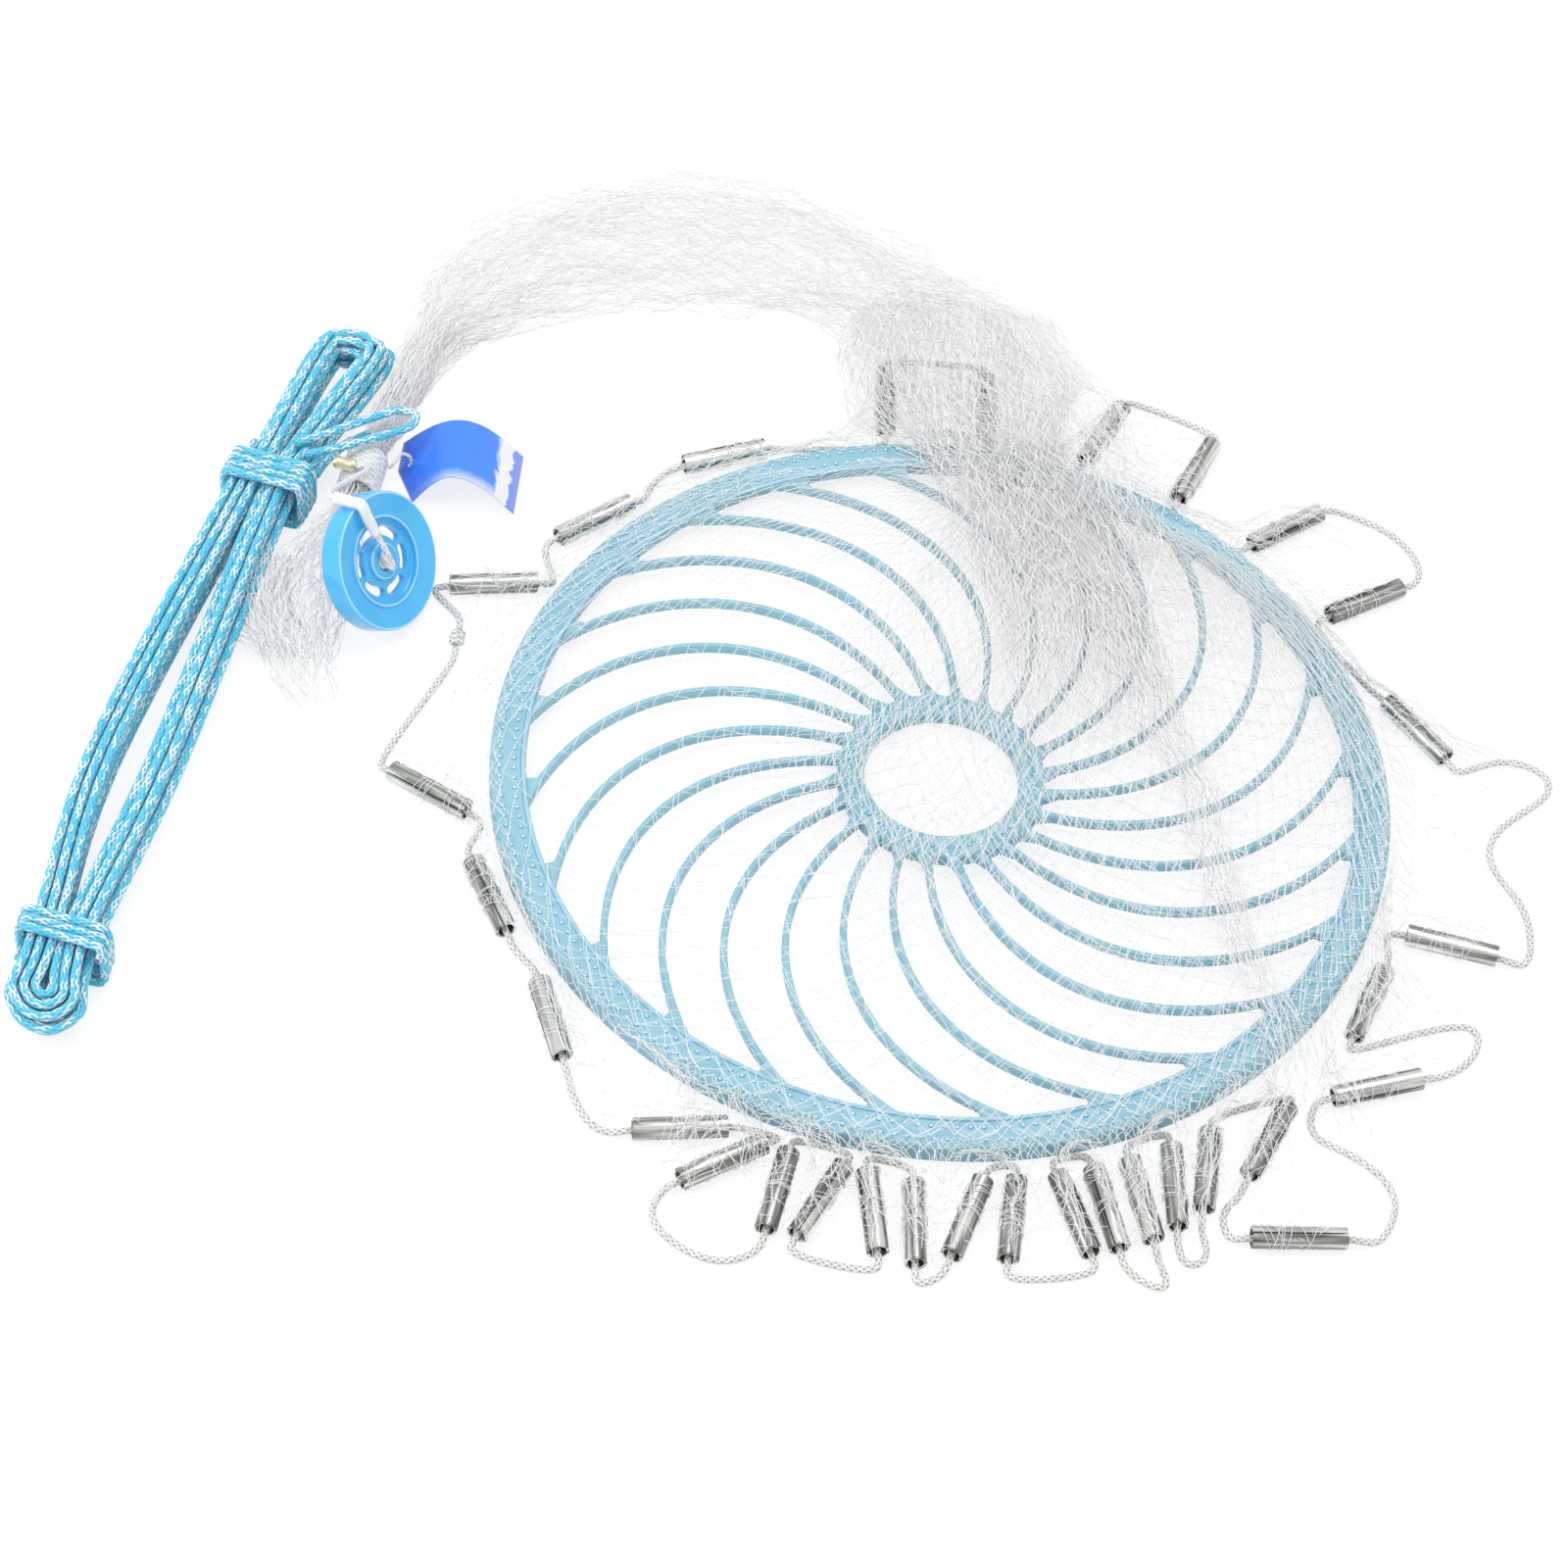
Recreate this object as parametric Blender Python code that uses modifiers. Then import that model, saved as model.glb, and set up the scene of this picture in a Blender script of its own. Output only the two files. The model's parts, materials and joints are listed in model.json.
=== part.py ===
"""A hand-thrown cast net with a large plastic throwing disc, laid out on the floor.

Metres, +Z up, the floor at z = 0. The net is gathered into a neck behind the disc,
its hem hangs on a weighted lead line round the disc, and the hand rope lies beside it
in a tied hank. The origin is under the middle of the box round everything but the rope.
"""

import math

import bmesh
import bpy
import numpy as np
from mathutils import Matrix, Vector

# Throwing disc
DISC_D = 0.400
DISC_H = 0.010
RIM_W = 0.016
RIM_TOP_T = 0.0026
RIM_WALL_T = 0.0026
RIM_EDGE_R = 0.0016
BEAD_H = 0.0007
BEAD_W = 0.0022
LIP_H = 0.0045
HUB_HOLE_D = 0.069
HUB_W = 0.0118
HUB_H = 0.0066
SPOKES = 24
SPOKE_W = 0.0031
SPOKE_H = 0.0046
SPOKE_DROP = 0.0005
SPOKE_SWEEP = math.radians(47)
SPOKE_LEAVES = math.radians(8)
SPOKE_ARRIVES = math.radians(108)
SPOKE_HUB_HANDLE = 0.072
SPOKE_RIM_HANDLE = 0.068
SPOKE_PHASE = math.radians(11.4)
SPOKE_STEPS = 7
GUSSET = 0.011
ROOT = 0.0015

# Sinkers, steel sheet rolled into a tube with an open seam
SINKER_D = 0.0096
SINKER_WALL = 0.0015
SINKER_L = 0.040
SEAM = 0.0007
SEAM_TURN = math.radians(67)

# Lead line, the cord that the sinkers are threaded on
LINE_D = 0.0030
LINE_KNOT = (0.0105, 0.0085, 0.0062)
LINE_OUT = (0.0035, 0.0095)
LINE_IN = 0.007
LINE_STEP = 0.0009

# Net
STRAND = 0.0015
CROWN_RAYS = 8
CROWN_ROWS = 8
CROWN_SPREAD = math.radians(66)
CROWN_START = 0.16
SKIRT_ON_RIM = 0.006
SKIRT_PARTS = 4
SKIRT_COLUMNS = 9
SKIRT_LAST = 13.5
SAG_NEAR = 0.019
SAG_DEEPEST = 0.0042
NECK_FOLDS = 5
FOLD_DEPTH = 0.16
NECK_CLIMB = (0.089, 0.013)

# Hand rope
ROPE_D = 0.0040
ROPE_PITCH = 0.00455
HANK_STEP = 0.0047
FOLD_STEP = 0.0051
HANK_LAYERS = 4
HANK_LAYER_TURNS = 2.5
HANK_L = 0.430
HANK_BOW = 0.0135
HANK_BEARING = math.radians(80)
FOLD_SWELL = {"low": 0.0025, "high": 0.0052}
FOLD_REACH = {"low": 0.0095, "high": 0.0125}
FOLD_POINTS = 5
CLIMB_BULGE = 0.12
WRAP_TURNS = {"lower": 3, "upper": 4}
WRAP_AT = {"lower": 0.044, "upper": 0.318}
WRAP_EASE = 0.0010
WRAP_LIFT_RUN = 0.040

# Wheel on the cord below the net's horn
WHEEL_D = 0.063
WHEEL_T = 0.0115
WHEEL_BORE_D = 0.0090
WHEEL_HUB_D = 0.0170
WHEEL_HUB_T = 0.0074
WHEEL_WEB_T = 0.0030
WHEEL_RING_D = 0.0420
WHEEL_RING_W = 0.0016
WHEEL_RING_H = 0.0010
WHEEL_DISH = 0.62
WHEEL_EDGE = 0.0012
WHEEL_SLOTS = 6
WHEEL_SLOT_W = 0.0046
WHEEL_SLOT_SPAN = math.radians(34)
CORD_D = 0.0028

# Tag
TAG_L = 0.056
TAG_W = 0.036
TAG_T = 0.0007
TAG_RISE = 0.020
TAG_SLANT = 0.009
TAG_HOLE_D = 0.0030
TAG_HOLE_IN = 0.0055
STRING_D = 0.0016

# Horn, the whipping round the gathered net, and the ferrule on it
HORN_D = 0.0200
HORN_L = 0.0240
HORN_WALL = 0.0030
HORN_TURNS = 5
HORN_SLACK = 0.0015
FERRULE_WALL = 0.0011
FERRULE_L = 0.0100
FERRULE_EASE = 0.0005
FERRULE_ON_HORN = (-0.0065, -0.0070)

# Clearance between pieces that touch
GAP = 0.0003

# Sides of the round pieces, and stations between two of a soft form's own
RIM_SIDES = 52
HUB_SIDES = 26
WHEEL_SIDES = 24
HORN_SIDES = 12
FERRULE_SIDES = 10
HOLE_SIDES = 10
SINKER_SIDES = {"outer": 9, "inner": 6}
KNOT_SIDES = (10, 6)
TAG_STEPS = 10
LINE_STATIONS = 6
NECK_STATIONS = 2
NECK_SIDES = (13, 3)

DISC_R = DISC_D / 2
HUB_R = HUB_HOLE_D / 2 + HUB_W
TOP = DISC_H + BEAD_H
NET_Z = max(TOP, SINKER_D) + GAP + STRAND / 2
SKIRT_IN = DISC_R - SKIRT_ON_RIM
HORN_CORE_R = HORN_D / 2 - HORN_WALL - GAP
WRAP_LIFT = ROPE_D + WRAP_EASE + GAP

COLOURS = {
    "disc": ((0.38, 0.66, 0.80), 0.42, 0.0),
    "steel": ((0.42, 0.43, 0.42), 0.32, 1.0),
    "line": ((0.74, 0.73, 0.69), 0.75, 0.0),
    "net": ((0.88, 0.89, 0.90), 0.35, 0.0),
    "rope": ((0.20, 0.60, 0.84), 0.62, 0.0),
    "wheel": ((0.05, 0.46, 0.95), 0.30, 0.0),
    "cord": ((0.90, 0.89, 0.86), 0.70, 0.0),
    "tag": ((0.06, 0.28, 0.95), 0.40, 0.0),
    "brass": ((0.80, 0.66, 0.38), 0.35, 1.0),
}

# The sinkers in their order along the lead line, starting left of the disc. Each row is
# the bearing of the end nearer the disc, its distance outside the rim in millimetres,
# the tube's lean from the radial, which way the line runs through it, and the places
# (bearing, millimetres outside the rim) that the line goes round on its way to the next.
SINKERS = (
    (193.0, 10.5, -39, "in", ()),
    (200.5, 12.5, 98, "out", ()),
    (219.5, 11.0, 72, "out", ((233.4, 37), (236.6, 43))),
    (249.0, 11.5, -59, "in", ()),
    (253.6, 12.5, -39, "out", ((246.9, 70), (254.1, 77))),
    (256.5, 12.5, 5, "in", ()),
    (262.9, 12.0, -17, "out", ()),
    (265.6, 12.0, 15, "in", ()),
    (270.9, 14.5, 4, "out", ()),
    (278.6, 12.0, -24, "in", ()),
    (282.4, 12.0, -14, "out", ()),
    (287.2, 12.0, 6, "in", ()),
    (291.4, 12.0, -3, "out", ((292.8, 73), (294.2, 73))),
    (295.8, 12.0, -9, "in", ()),
    (301.0, 12.0, -25, "out", ((296.2, 67), (298.7, 67))),
    (306.3, 12.5, -39, "in", ()),
    (315.6, 21.0, -68, "out", ((304.2, 45), (301.9, 48))),
    (302.9, 65.0, 64, "out", ((312.8, 94), (317.7, 82), (317.2, 53), (314.8, 37))),
    (320.4, 30.0, 61, "out", ((333.8, 67), (339.7, 59))),
    (339.0, 12.5, -88, "in", ()),
    (345.0, 15.5, 6, "out", ((346.8, 71), (353.5, 65), (357.2, 44), (2.8, 46), (7.0, 78), (10.2, 76), (12.2, 56))),
    (21.0, 13.0, -69, "in", ()),
    (36.0, 12.0, -2, "out", ((37.2, 71), (42.2, 74))),
    (50.5, 12.0, -12, "in", ()),
    (62.0, 12.0, 6, "out", ()),
    (75.0, 12.0, -8, "in", ()),
    (88.0, 12.0, 6, "out", ()),
    (101.0, 12.0, -6, "in", ()),
    (117.0, 11.5, 87, "out", ((132.6, 17),)),
    (137.0, 11.5, 83, "out", ()),
    (155.0, 11.0, 36, "out", ()),
)
LINE_KNOT_AT = (166.9, 29)

# How far the net's hem reaches: bearing and millimetres outside the rim
HEM = (
    (8, 56),
    (16, 60),
    (27, 74),
    (41, 70),
    (60, 64),
    (90, 62),
    (112, 57),
    (128, 42),
    (148, 38),
    (172, 38),
    (186, 50),
    (200, 56),
    (226, 52),
    (240, 62),
    (262, 66),
    (290, 62),
    (300, 58),
    (316, 60),
    (332, 70),
    (346, 68),
)

# The gathered net, from the horn to the disc: bearing and millimetres outside the rim,
# then half the width and the height there, in millimetres
NECK_ENTERS = 81.3
NECK = (
    (145.3, 129, 8.5, 18),
    (138.0, 148, 12.8, 20),
    (130.3, 162, 32, 25),
    (122.3, 160, 38, 29),
    (114.9, 149, 41, 31),
    (107.0, 128, 40, 29),
    (98.9, 91, 41, 25),
    (90.0, 43, 46, 19),
    (NECK_ENTERS, -3, 52, 13),
    (73.7, -44, 50, 9),
    (66.4, -80, 40, 6),
    (60.6, -110, 24, 3.5),
)
TAIL = (
    (158.9, 103, 12, 18),
    (162.3, 103, 15, 22),
    (167.5, 101, 18, 28),
    (171.8, 96, 19, 30),
    (175.5, 88, 16, 24),
    (178.0, 78, 8, 11),
)
HORN_AT = (153.7, 111)
HORN_WAY = Vector((0.10, 0.995, 0)).normalized()

# The hank: where it starts, and how far its two runs stand from its middle along it
HANK_AT = (208.2, 214)
HANK_RUN = (0.030, 0.058, 0.150, 0.302, 0.338)
HANK_OPEN = (0.0021, 0.0022, 0.0080, 0.0021, 0.0021)

# Two free stretches of rope: along, beside and above the hank
BOW = (
    (0.3389, 0.0046, 0.0243),
    (0.3533, 0.0185, 0.0243),
    (0.3691, 0.0322, 0.0236),
    (0.3761, 0.0392, 0.0226),
    (0.3763, 0.0470, 0.0220),
    (0.3689, 0.0480, 0.0224),
    (0.3607, 0.0424, 0.0236),
    (0.3461, 0.0278, 0.0247),
    (0.3331, 0.0124, 0.0254),
)
LEAD = (
    (0.3325, 0.0172, 0.0140),
    (0.3430, 0.0180, 0.0135),
    (0.3550, 0.0225, 0.0150),
    (0.3590, 0.0252, 0.0150),
)

WHEEL_AT = (165.1, 70)
WHEEL_FACES = Vector((0.771, -0.332, 0.543)).normalized()
TAG_AT = (147.4, 80)

CORD_NODES = ("hand_rope_hank", "rope_wrap_lower", "rope_wrap_upper", "rope_bow", "hand_rope_lead")


def place(bearing, off_mm, z=0.0):
    """A place at a bearing in degrees, so many millimetres outside the disc's rim."""
    r = DISC_R + off_mm / 1000
    a = math.radians(bearing)
    return Vector((r * math.cos(a), r * math.sin(a), z))


def clear_scene():
    for ob in list(bpy.data.objects):
        bpy.data.objects.remove(ob)
    for block in (bpy.data.meshes, bpy.data.curves, bpy.data.materials):
        for item in list(block):
            block.remove(item)


def collection(name):
    found = bpy.data.collections.get(name) or bpy.data.collections.new(name)
    if name not in bpy.context.scene.collection.children:
        bpy.context.scene.collection.children.link(found)
    return found


def material(name, kind):
    rgb, rough, metal = COLOURS[kind]
    mat = bpy.data.materials.new(name)
    mat.use_nodes = True
    shader = mat.node_tree.nodes["Principled BSDF"]
    shader.inputs["Base Color"].default_value = (*rgb, 1.0)
    shader.inputs["Roughness"].default_value = rough
    shader.inputs["Metallic"].default_value = metal
    mat.diffuse_color = (*rgb, 1.0)
    return mat


def part(name, data, kind, smooth=math.radians(35)):
    """Adds one named piece with its own material to the object's collection."""
    ob = bpy.data.objects.new(name, data)
    PARTS.objects.link(ob)
    ob.parent = LAYOUT
    if kind:
        data.materials.append(material(name, kind))
    if smooth and isinstance(data, bpy.types.Mesh):
        data.shade_smooth()
        data.set_sharp_from_angle(angle=smooth)
    return ob


def mesh_of(bm, name):
    bmesh.ops.recalc_face_normals(bm, faces=bm.faces)
    data = bpy.data.meshes.new(name)
    bm.to_mesh(data)
    bm.free()
    return data


def guide(name, data):
    """A cutter or a blank: hidden, drawn as wire and left out of the object."""
    ob = bpy.data.objects.new(name, data)
    CUTTERS.objects.link(ob)
    ob.parent = LAYOUT
    ob.hide_render = True
    ob.display_type = "WIRE"
    return ob


def boolean(ob, other, operation):
    mod = ob.modifiers.new(operation.lower(), "BOOLEAN")
    mod.operation = operation
    mod.solver = "EXACT"
    mod.object = other
    return mod


def turned(ob, steps):
    """Turns an object's closed profile round Z with a Screw."""
    mod = ob.modifiers.new("turn", "SCREW")
    mod.axis = "Z"
    mod.angle = 2 * math.pi
    mod.steps = steps
    mod.render_steps = steps
    mod.use_merge_vertices = True
    mod.merge_threshold = 0.00002
    return ob


def profile_mesh(name, profile):
    """A closed profile of (radius, height), running down its outer side."""
    data = bpy.data.meshes.new(name)
    n = len(profile)
    data.from_pydata([(r, 0.0, z) for r, z in profile], [(i, (i + 1) % n) for i in range(n)], [])
    return data


def curve_data(name, points, depth, resolution):
    data = bpy.data.curves.new(name, "CURVE")
    data.dimensions = "3D"
    data.bevel_depth = depth
    data.bevel_resolution = resolution
    data.use_fill_caps = True
    spline = data.splines.new("POLY")
    spline.points.add(len(points) - 1)
    for point, co in zip(spline.points, points):
        point.co = (*co, 1.0)
    return data


def tube(name, points, diameter, kind, resolution=2):
    ob = part(name, curve_data(name, points, diameter / 2, resolution), kind, smooth=None)
    return ob


def flat_shape(name, outline, thickness):
    """A flat outline as a 2D curve, extruded by half its thickness each way."""
    data = bpy.data.curves.new(name, "CURVE")
    data.dimensions = "2D"
    data.fill_mode = "BOTH"
    data.extrude = thickness / 2
    spline = data.splines.new("POLY")
    spline.points.add(len(outline) - 1)
    for point, (x, y) in zip(spline.points, outline):
        point.co = (x, y, 0.0, 1.0)
    spline.use_cyclic_u = True
    return data


def solid_from_curve(ob):
    """Turns a curve object into a closed mesh with its caps welded, and removes the curve."""
    bpy.context.view_layer.update()
    graph = bpy.context.evaluated_depsgraph_get()
    data = bpy.data.meshes.new_from_object(ob.evaluated_get(graph))
    bm = bmesh.new()
    bm.from_mesh(data)
    bmesh.ops.remove_doubles(bm, verts=bm.verts, dist=0.00001)
    bmesh.ops.transform(bm, matrix=ob.matrix_world, verts=bm.verts)
    bmesh.ops.recalc_face_normals(bm, faces=bm.faces)
    bm.to_mesh(data)
    bm.free()
    bpy.data.objects.remove(ob)
    return data


def catmull(rows, per):
    """A smooth curve through rows of numbers, with so many steps between two of them."""
    p = np.array([list(r) for r in rows], float)
    p = np.vstack([2 * p[0] - p[1], p, 2 * p[-1] - p[-2]])
    out = []
    for i in range(1, len(p) - 2):
        for k in range(per):
            t = k / per
            a = 2 * p[i]
            b = (p[i + 1] - p[i - 1]) * t
            c = (2 * p[i - 1] - 5 * p[i] + 4 * p[i + 1] - p[i + 2]) * t * t
            d = (3 * p[i] - p[i - 1] - 3 * p[i + 1] + p[i + 2]) * t ** 3
            out.append((a + b + c + d) / 2)
    out.append(p[-2])
    return np.array(out)


def soft_curve(controls, per):
    """A cubic B-spline: smooth, and straight wherever its controls are in line."""
    p = np.array([list(c) for c in controls], float)
    p = np.vstack([2 * p[0] - p[1], p, 2 * p[-1] - p[-2]])
    out = []
    for i in range(len(p) - 3):
        for k in range(per):
            t = k / per
            w = np.array([(1 - t) ** 3, 3 * t ** 3 - 6 * t * t + 4, -3 * t ** 3 + 3 * t * t + 3 * t + 1, t ** 3])
            out.append(w @ p[i:i + 4] / 6)
    out.append((p[-3] + 4 * p[-2] + p[-1]) / 6)
    return np.array(out)


def thinned(points, tolerance, kept=()):
    """Leaves out the points that a straight run may skip, but never those in kept."""
    chosen = [0]
    last = len(points) - 1
    stops = sorted(set(kept) | {last})
    while chosen[-1] < last:
        i = chosen[-1]
        limit = next(s for s in stops if s > i)
        j = i + 1
        while j + 1 <= limit:
            a, b = points[i], points[j + 1]
            run = b - a
            length = np.linalg.norm(run)
            off = points[i + 1:j + 1] - a
            miss = np.linalg.norm(off - np.outer(off @ run / length ** 2, run), axis=1).max()
            if miss > tolerance:
                break
            j += 1
        chosen.append(j)
    return points[chosen]


def least_gap(points, diameter, skip):
    """The least gap of a tube to itself, between stretches more than skip metres apart along it."""
    p = np.array(points)
    along = np.concatenate([[0], np.cumsum(np.linalg.norm(np.diff(p, axis=0), axis=1))])
    count = max(2, int(along[-1] / 0.0015))
    fine_at = np.linspace(0, along[-1], count)
    fine = np.stack([np.interp(fine_at, along, p[:, k]) for k in range(3)], axis=1)
    least = 1.0
    for i in range(count):
        far = fine[fine_at > fine_at[i] + skip]
        if len(far):
            least = min(least, np.linalg.norm(far - fine[i], axis=1).min())
    return least - diameter


def spoke_outline():
    """One spoke from the hub out to the rim, with the small web at each end."""
    hub = HUB_R - ROOT
    rim = DISC_R - RIM_W + ROOT
    start = np.array([hub, 0.0])
    end = np.array([math.cos(SPOKE_SWEEP), math.sin(SPOKE_SWEEP)]) * rim
    a = start + SPOKE_HUB_HANDLE * np.array([math.cos(SPOKE_LEAVES), math.sin(SPOKE_LEAVES)])
    b = end - SPOKE_RIM_HANDLE * np.array([math.cos(SPOKE_ARRIVES), math.sin(SPOKE_ARRIVES)])
    t = np.linspace(0, 1, SPOKE_STEPS + 1)[:, None]
    mid = (1 - t) ** 3 * start + 3 * (1 - t) ** 2 * t * a + 3 * (1 - t) * t * t * b + t ** 3 * end
    way = np.gradient(mid, axis=0)
    way /= np.linalg.norm(way, axis=1)[:, None]
    side = np.stack([way[:, 1], -way[:, 0]], axis=1) * SPOKE_W / 2
    outer = mid + side
    inner = mid - side
    to_tip = np.linalg.norm(mid - end, axis=1)
    stays = [i for i in range(1, len(mid) - 1) if to_tip[i] > GUSSET]
    foot = outer[stays[-1]] / np.linalg.norm(outer[stays[-1]]) * rim
    heel_at = math.atan2(outer[stays[0]][1], outer[stays[0]][0]) - GUSSET / hub / 2
    heel = np.array([math.cos(heel_at), math.sin(heel_at)]) * hub
    return [heel] + [outer[i] for i in stays] + [foot, end] + list(inner[::-1])


def spoke_blanks():
    """All the spokes in one mesh, low enough to leave the disc's top face clear."""
    blank = bpy.data.objects.new("spoke_curve", flat_shape("spoke_curve", spoke_outline(), SPOKE_H))
    CUTTERS.objects.link(blank)
    spoke = solid_from_curve(blank)
    middle = Matrix.Translation((0, 0, DISC_H - SPOKE_DROP - SPOKE_H / 2))
    bm = bmesh.new()
    for k in range(SPOKES):
        turn = Matrix.Rotation(SPOKE_PHASE + 2 * math.pi * k / SPOKES, 4, "Z")
        copy = spoke.copy()
        copy.transform(turn @ middle)
        bm.from_mesh(copy)
        bpy.data.meshes.remove(copy)
    return mesh_of(bm, "spoke_blanks")


def throwing_disc():
    rim_in = DISC_R - RIM_W
    bead_out = rim_in + BEAD_W
    plate = DISC_H - RIM_TOP_T
    lip = DISC_H - LIP_H
    rim = [
        (bead_out, DISC_H),
        (DISC_R - RIM_EDGE_R, DISC_H),
        (DISC_R, DISC_H - RIM_EDGE_R),
        (DISC_R, 0.0),
        (DISC_R - RIM_WALL_T, 0.0),
        (DISC_R - RIM_WALL_T, plate),
        (bead_out, plate),
        (bead_out, lip),
        (rim_in, lip),
        (rim_in, TOP),
        (bead_out, TOP),
    ]
    disc = turned(part("throwing_disc", profile_mesh("throwing_disc", rim), "disc", smooth=None), RIM_SIDES)
    hole = HUB_HOLE_D / 2
    hub_low = DISC_H - HUB_H
    hub = [
        (HUB_R - RIM_EDGE_R, DISC_H),
        (HUB_R, DISC_H - RIM_EDGE_R),
        (HUB_R, hub_low),
        (hole, hub_low),
        (hole, DISC_H),
    ]
    boolean(disc, turned(guide("hub_blank", profile_mesh("hub_blank", hub)), HUB_SIDES), "UNION")
    boolean(disc, guide("spoke_blanks", spoke_blanks()), "UNION")


def sinker_ends(row):
    """The tube's end nearer the disc, its other end and the way between them, on the floor."""
    bearing, off, lean = row[:3]
    near = place(bearing, off)
    a = math.radians(bearing + lean)
    way = Vector((math.cos(a), math.sin(a), 0.0))
    return near, near + way * SINKER_L, way


def sinker_outline():
    """Sheet rolled into a tube, with an open seam."""
    outline = []
    walls = {"outer": SINKER_D / 2, "inner": SINKER_D / 2 - SINKER_WALL}
    for side, radius in walls.items():
        steps = SINKER_SIDES[side]
        half = SEAM / 2 / radius
        arc = [half + (2 * math.pi - 2 * half) * k / steps for k in range(steps + 1)]
        points = [(radius * math.cos(a), radius * math.sin(a)) for a in arc]
        outline += points if side == "outer" else points[::-1]
    return outline


def sinkers():
    blank = bpy.data.objects.new("sinker_curve", flat_shape("sinker_curve", sinker_outline(), SINKER_L))
    CUTTERS.objects.link(blank)
    shape = solid_from_curve(blank)
    for k, row in enumerate(SINKERS):
        near, far, way = sinker_ends(row)
        ob = part(f"sinker_{k + 1:02d}", shape.copy(), "steel")
        seam = Matrix.Rotation(SEAM_TURN * (k + 0.6), 4, "Z")
        along = way.to_track_quat("Z", "Y").to_matrix().to_4x4()
        ob.matrix_local = Matrix.Translation((near + far) / 2 + Vector((0, 0, SINKER_D / 2))) @ along @ seam
    bpy.data.meshes.remove(shape)


def line_route():
    """The lead line's controls, and which of them are a tube's two ends."""
    low = LINE_D / 2 + GAP / 2
    inside = SINKER_WALL + 2 * GAP + LINE_D / 2
    knot = place(*LINE_KNOT_AT)
    half = LINE_KNOT[0] / 2 + GAP
    controls, ends = [], []

    def add(point, z):
        controls.append((point[0], point[1], z))

    for off in (half, half + LINE_D, half + 3 * LINE_D):
        add(knot - Vector((0, off, 0)), low)
    for near, far, flow, way, via in line_rows():
        add(near - way * LINE_OUT[1], low)
        add(near - way * LINE_OUT[0], inside)
        ends.append(len(controls))
        add(near, inside)
        add(near + way * LINE_IN, inside)
        add(far - way * LINE_IN, inside)
        ends.append(len(controls))
        add(far, inside)
        add(far + way * LINE_OUT[0], inside)
        add(far + way * LINE_OUT[1], low)
        for bearing, off in via:
            add(place(bearing, off), low)
    for off in (half + 3 * LINE_D, half + LINE_D, half):
        add(knot + Vector((0, off, 0)), low)
    return controls, ends


def line_rows():
    for row in SINKERS:
        near, far, way = sinker_ends(row)
        if row[3] == "in":
            near, far, way = far, near, -way
        yield near, far, row[3], way, row[4]


def lead_line():
    controls, ends = line_route()
    fine = soft_curve(controls, LINE_STATIONS)
    points = thinned(fine, LINE_STEP, kept=[LINE_STATIONS * e for e in ends])
    tube("lead_line", points, LINE_D, "line", resolution=1)
    length = np.linalg.norm(np.diff(fine, axis=0), axis=1).sum()
    print(f"lead line: {length:.3f} m, {len(points)} points")
    print(f"lead line: least gap to itself {least_gap(points, LINE_D, 0.012) * 1000:.2f} mm")
    bm = bmesh.new()
    bmesh.ops.create_uvsphere(bm, u_segments=KNOT_SIDES[0], v_segments=KNOT_SIDES[1], radius=0.5)
    bmesh.ops.scale(bm, vec=(LINE_KNOT[1], LINE_KNOT[0], LINE_KNOT[2]), verts=bm.verts)
    knot = part("lead_line_knot", mesh_of(bm, "lead_line_knot"), "line")
    knot.location = place(*LINE_KNOT_AT, LINE_KNOT[2] / 2)


def lattice(name, rows):
    """A net from rows of points: every edge between them becomes a strand."""
    bm = bmesh.new()
    verts = [[bm.verts.new(p) for p in row] for row in rows]
    for i in range(len(rows) - 1):
        for j in range(len(rows[0]) - 1):
            bm.faces.new((verts[i][j], verts[i][j + 1], verts[i + 1][j + 1], verts[i + 1][j]))
    ob = part(name, mesh_of(bm, name), "net", smooth=None)
    mod = ob.modifiers.new("strands", "WIREFRAME")
    mod.thickness = STRAND
    mod.use_even_offset = False
    mod.use_boundary = True
    mod.use_replace = True
    return ob


def net_crown():
    """The net over the disc, fanned out from where the neck comes in."""
    radius = SKIRT_IN - 1.6 * STRAND - GAP
    focus_at = math.radians(NECK_ENTERS)
    focus = Vector((math.cos(focus_at), math.sin(focus_at), 0)) * radius
    rows = []
    for i in range(CROWN_ROWS + 1):
        share = CROWN_START + (1 - CROWN_START) * i / CROWN_ROWS
        row = []
        for k in range(CROWN_RAYS + 1):
            u = CROWN_SPREAD * (2 * k / CROWN_RAYS - 1)
            a = focus_at + math.pi + u
            reach = share * 2 * radius * math.cos(u)
            row.append(focus + Vector((math.cos(a), math.sin(a), 0)) * reach + Vector((0, 0, NET_Z)))
        rows.append(row)
    lattice("net_crown", rows)


def sinker_near(point):
    """How far a place on the floor is from the nearest sinker's middle line."""
    least = 1.0
    for row in SINKERS:
        near, far, way = sinker_ends(row)
        along = max(0.0, min(SINKER_L, (point - near).dot(way)))
        least = min(least, (point - near - way * along).length)
    return least


def hem_height(point, off):
    """How high the net lies over the sinkers, sagging between them, down to its hem."""
    near = sinker_near(point)
    if off == "hem":
        low = LINE_D + 2 * GAP + STRAND
        return NET_Z - (NET_Z - low) * max(0.0, min(1.0, 2 * (near / SAG_NEAR - 1)))
    if off == "rim":
        return NET_Z
    return NET_Z - SAG_DEEPEST * max(0.0, min(1.0, near / SAG_NEAR - 1))


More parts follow.
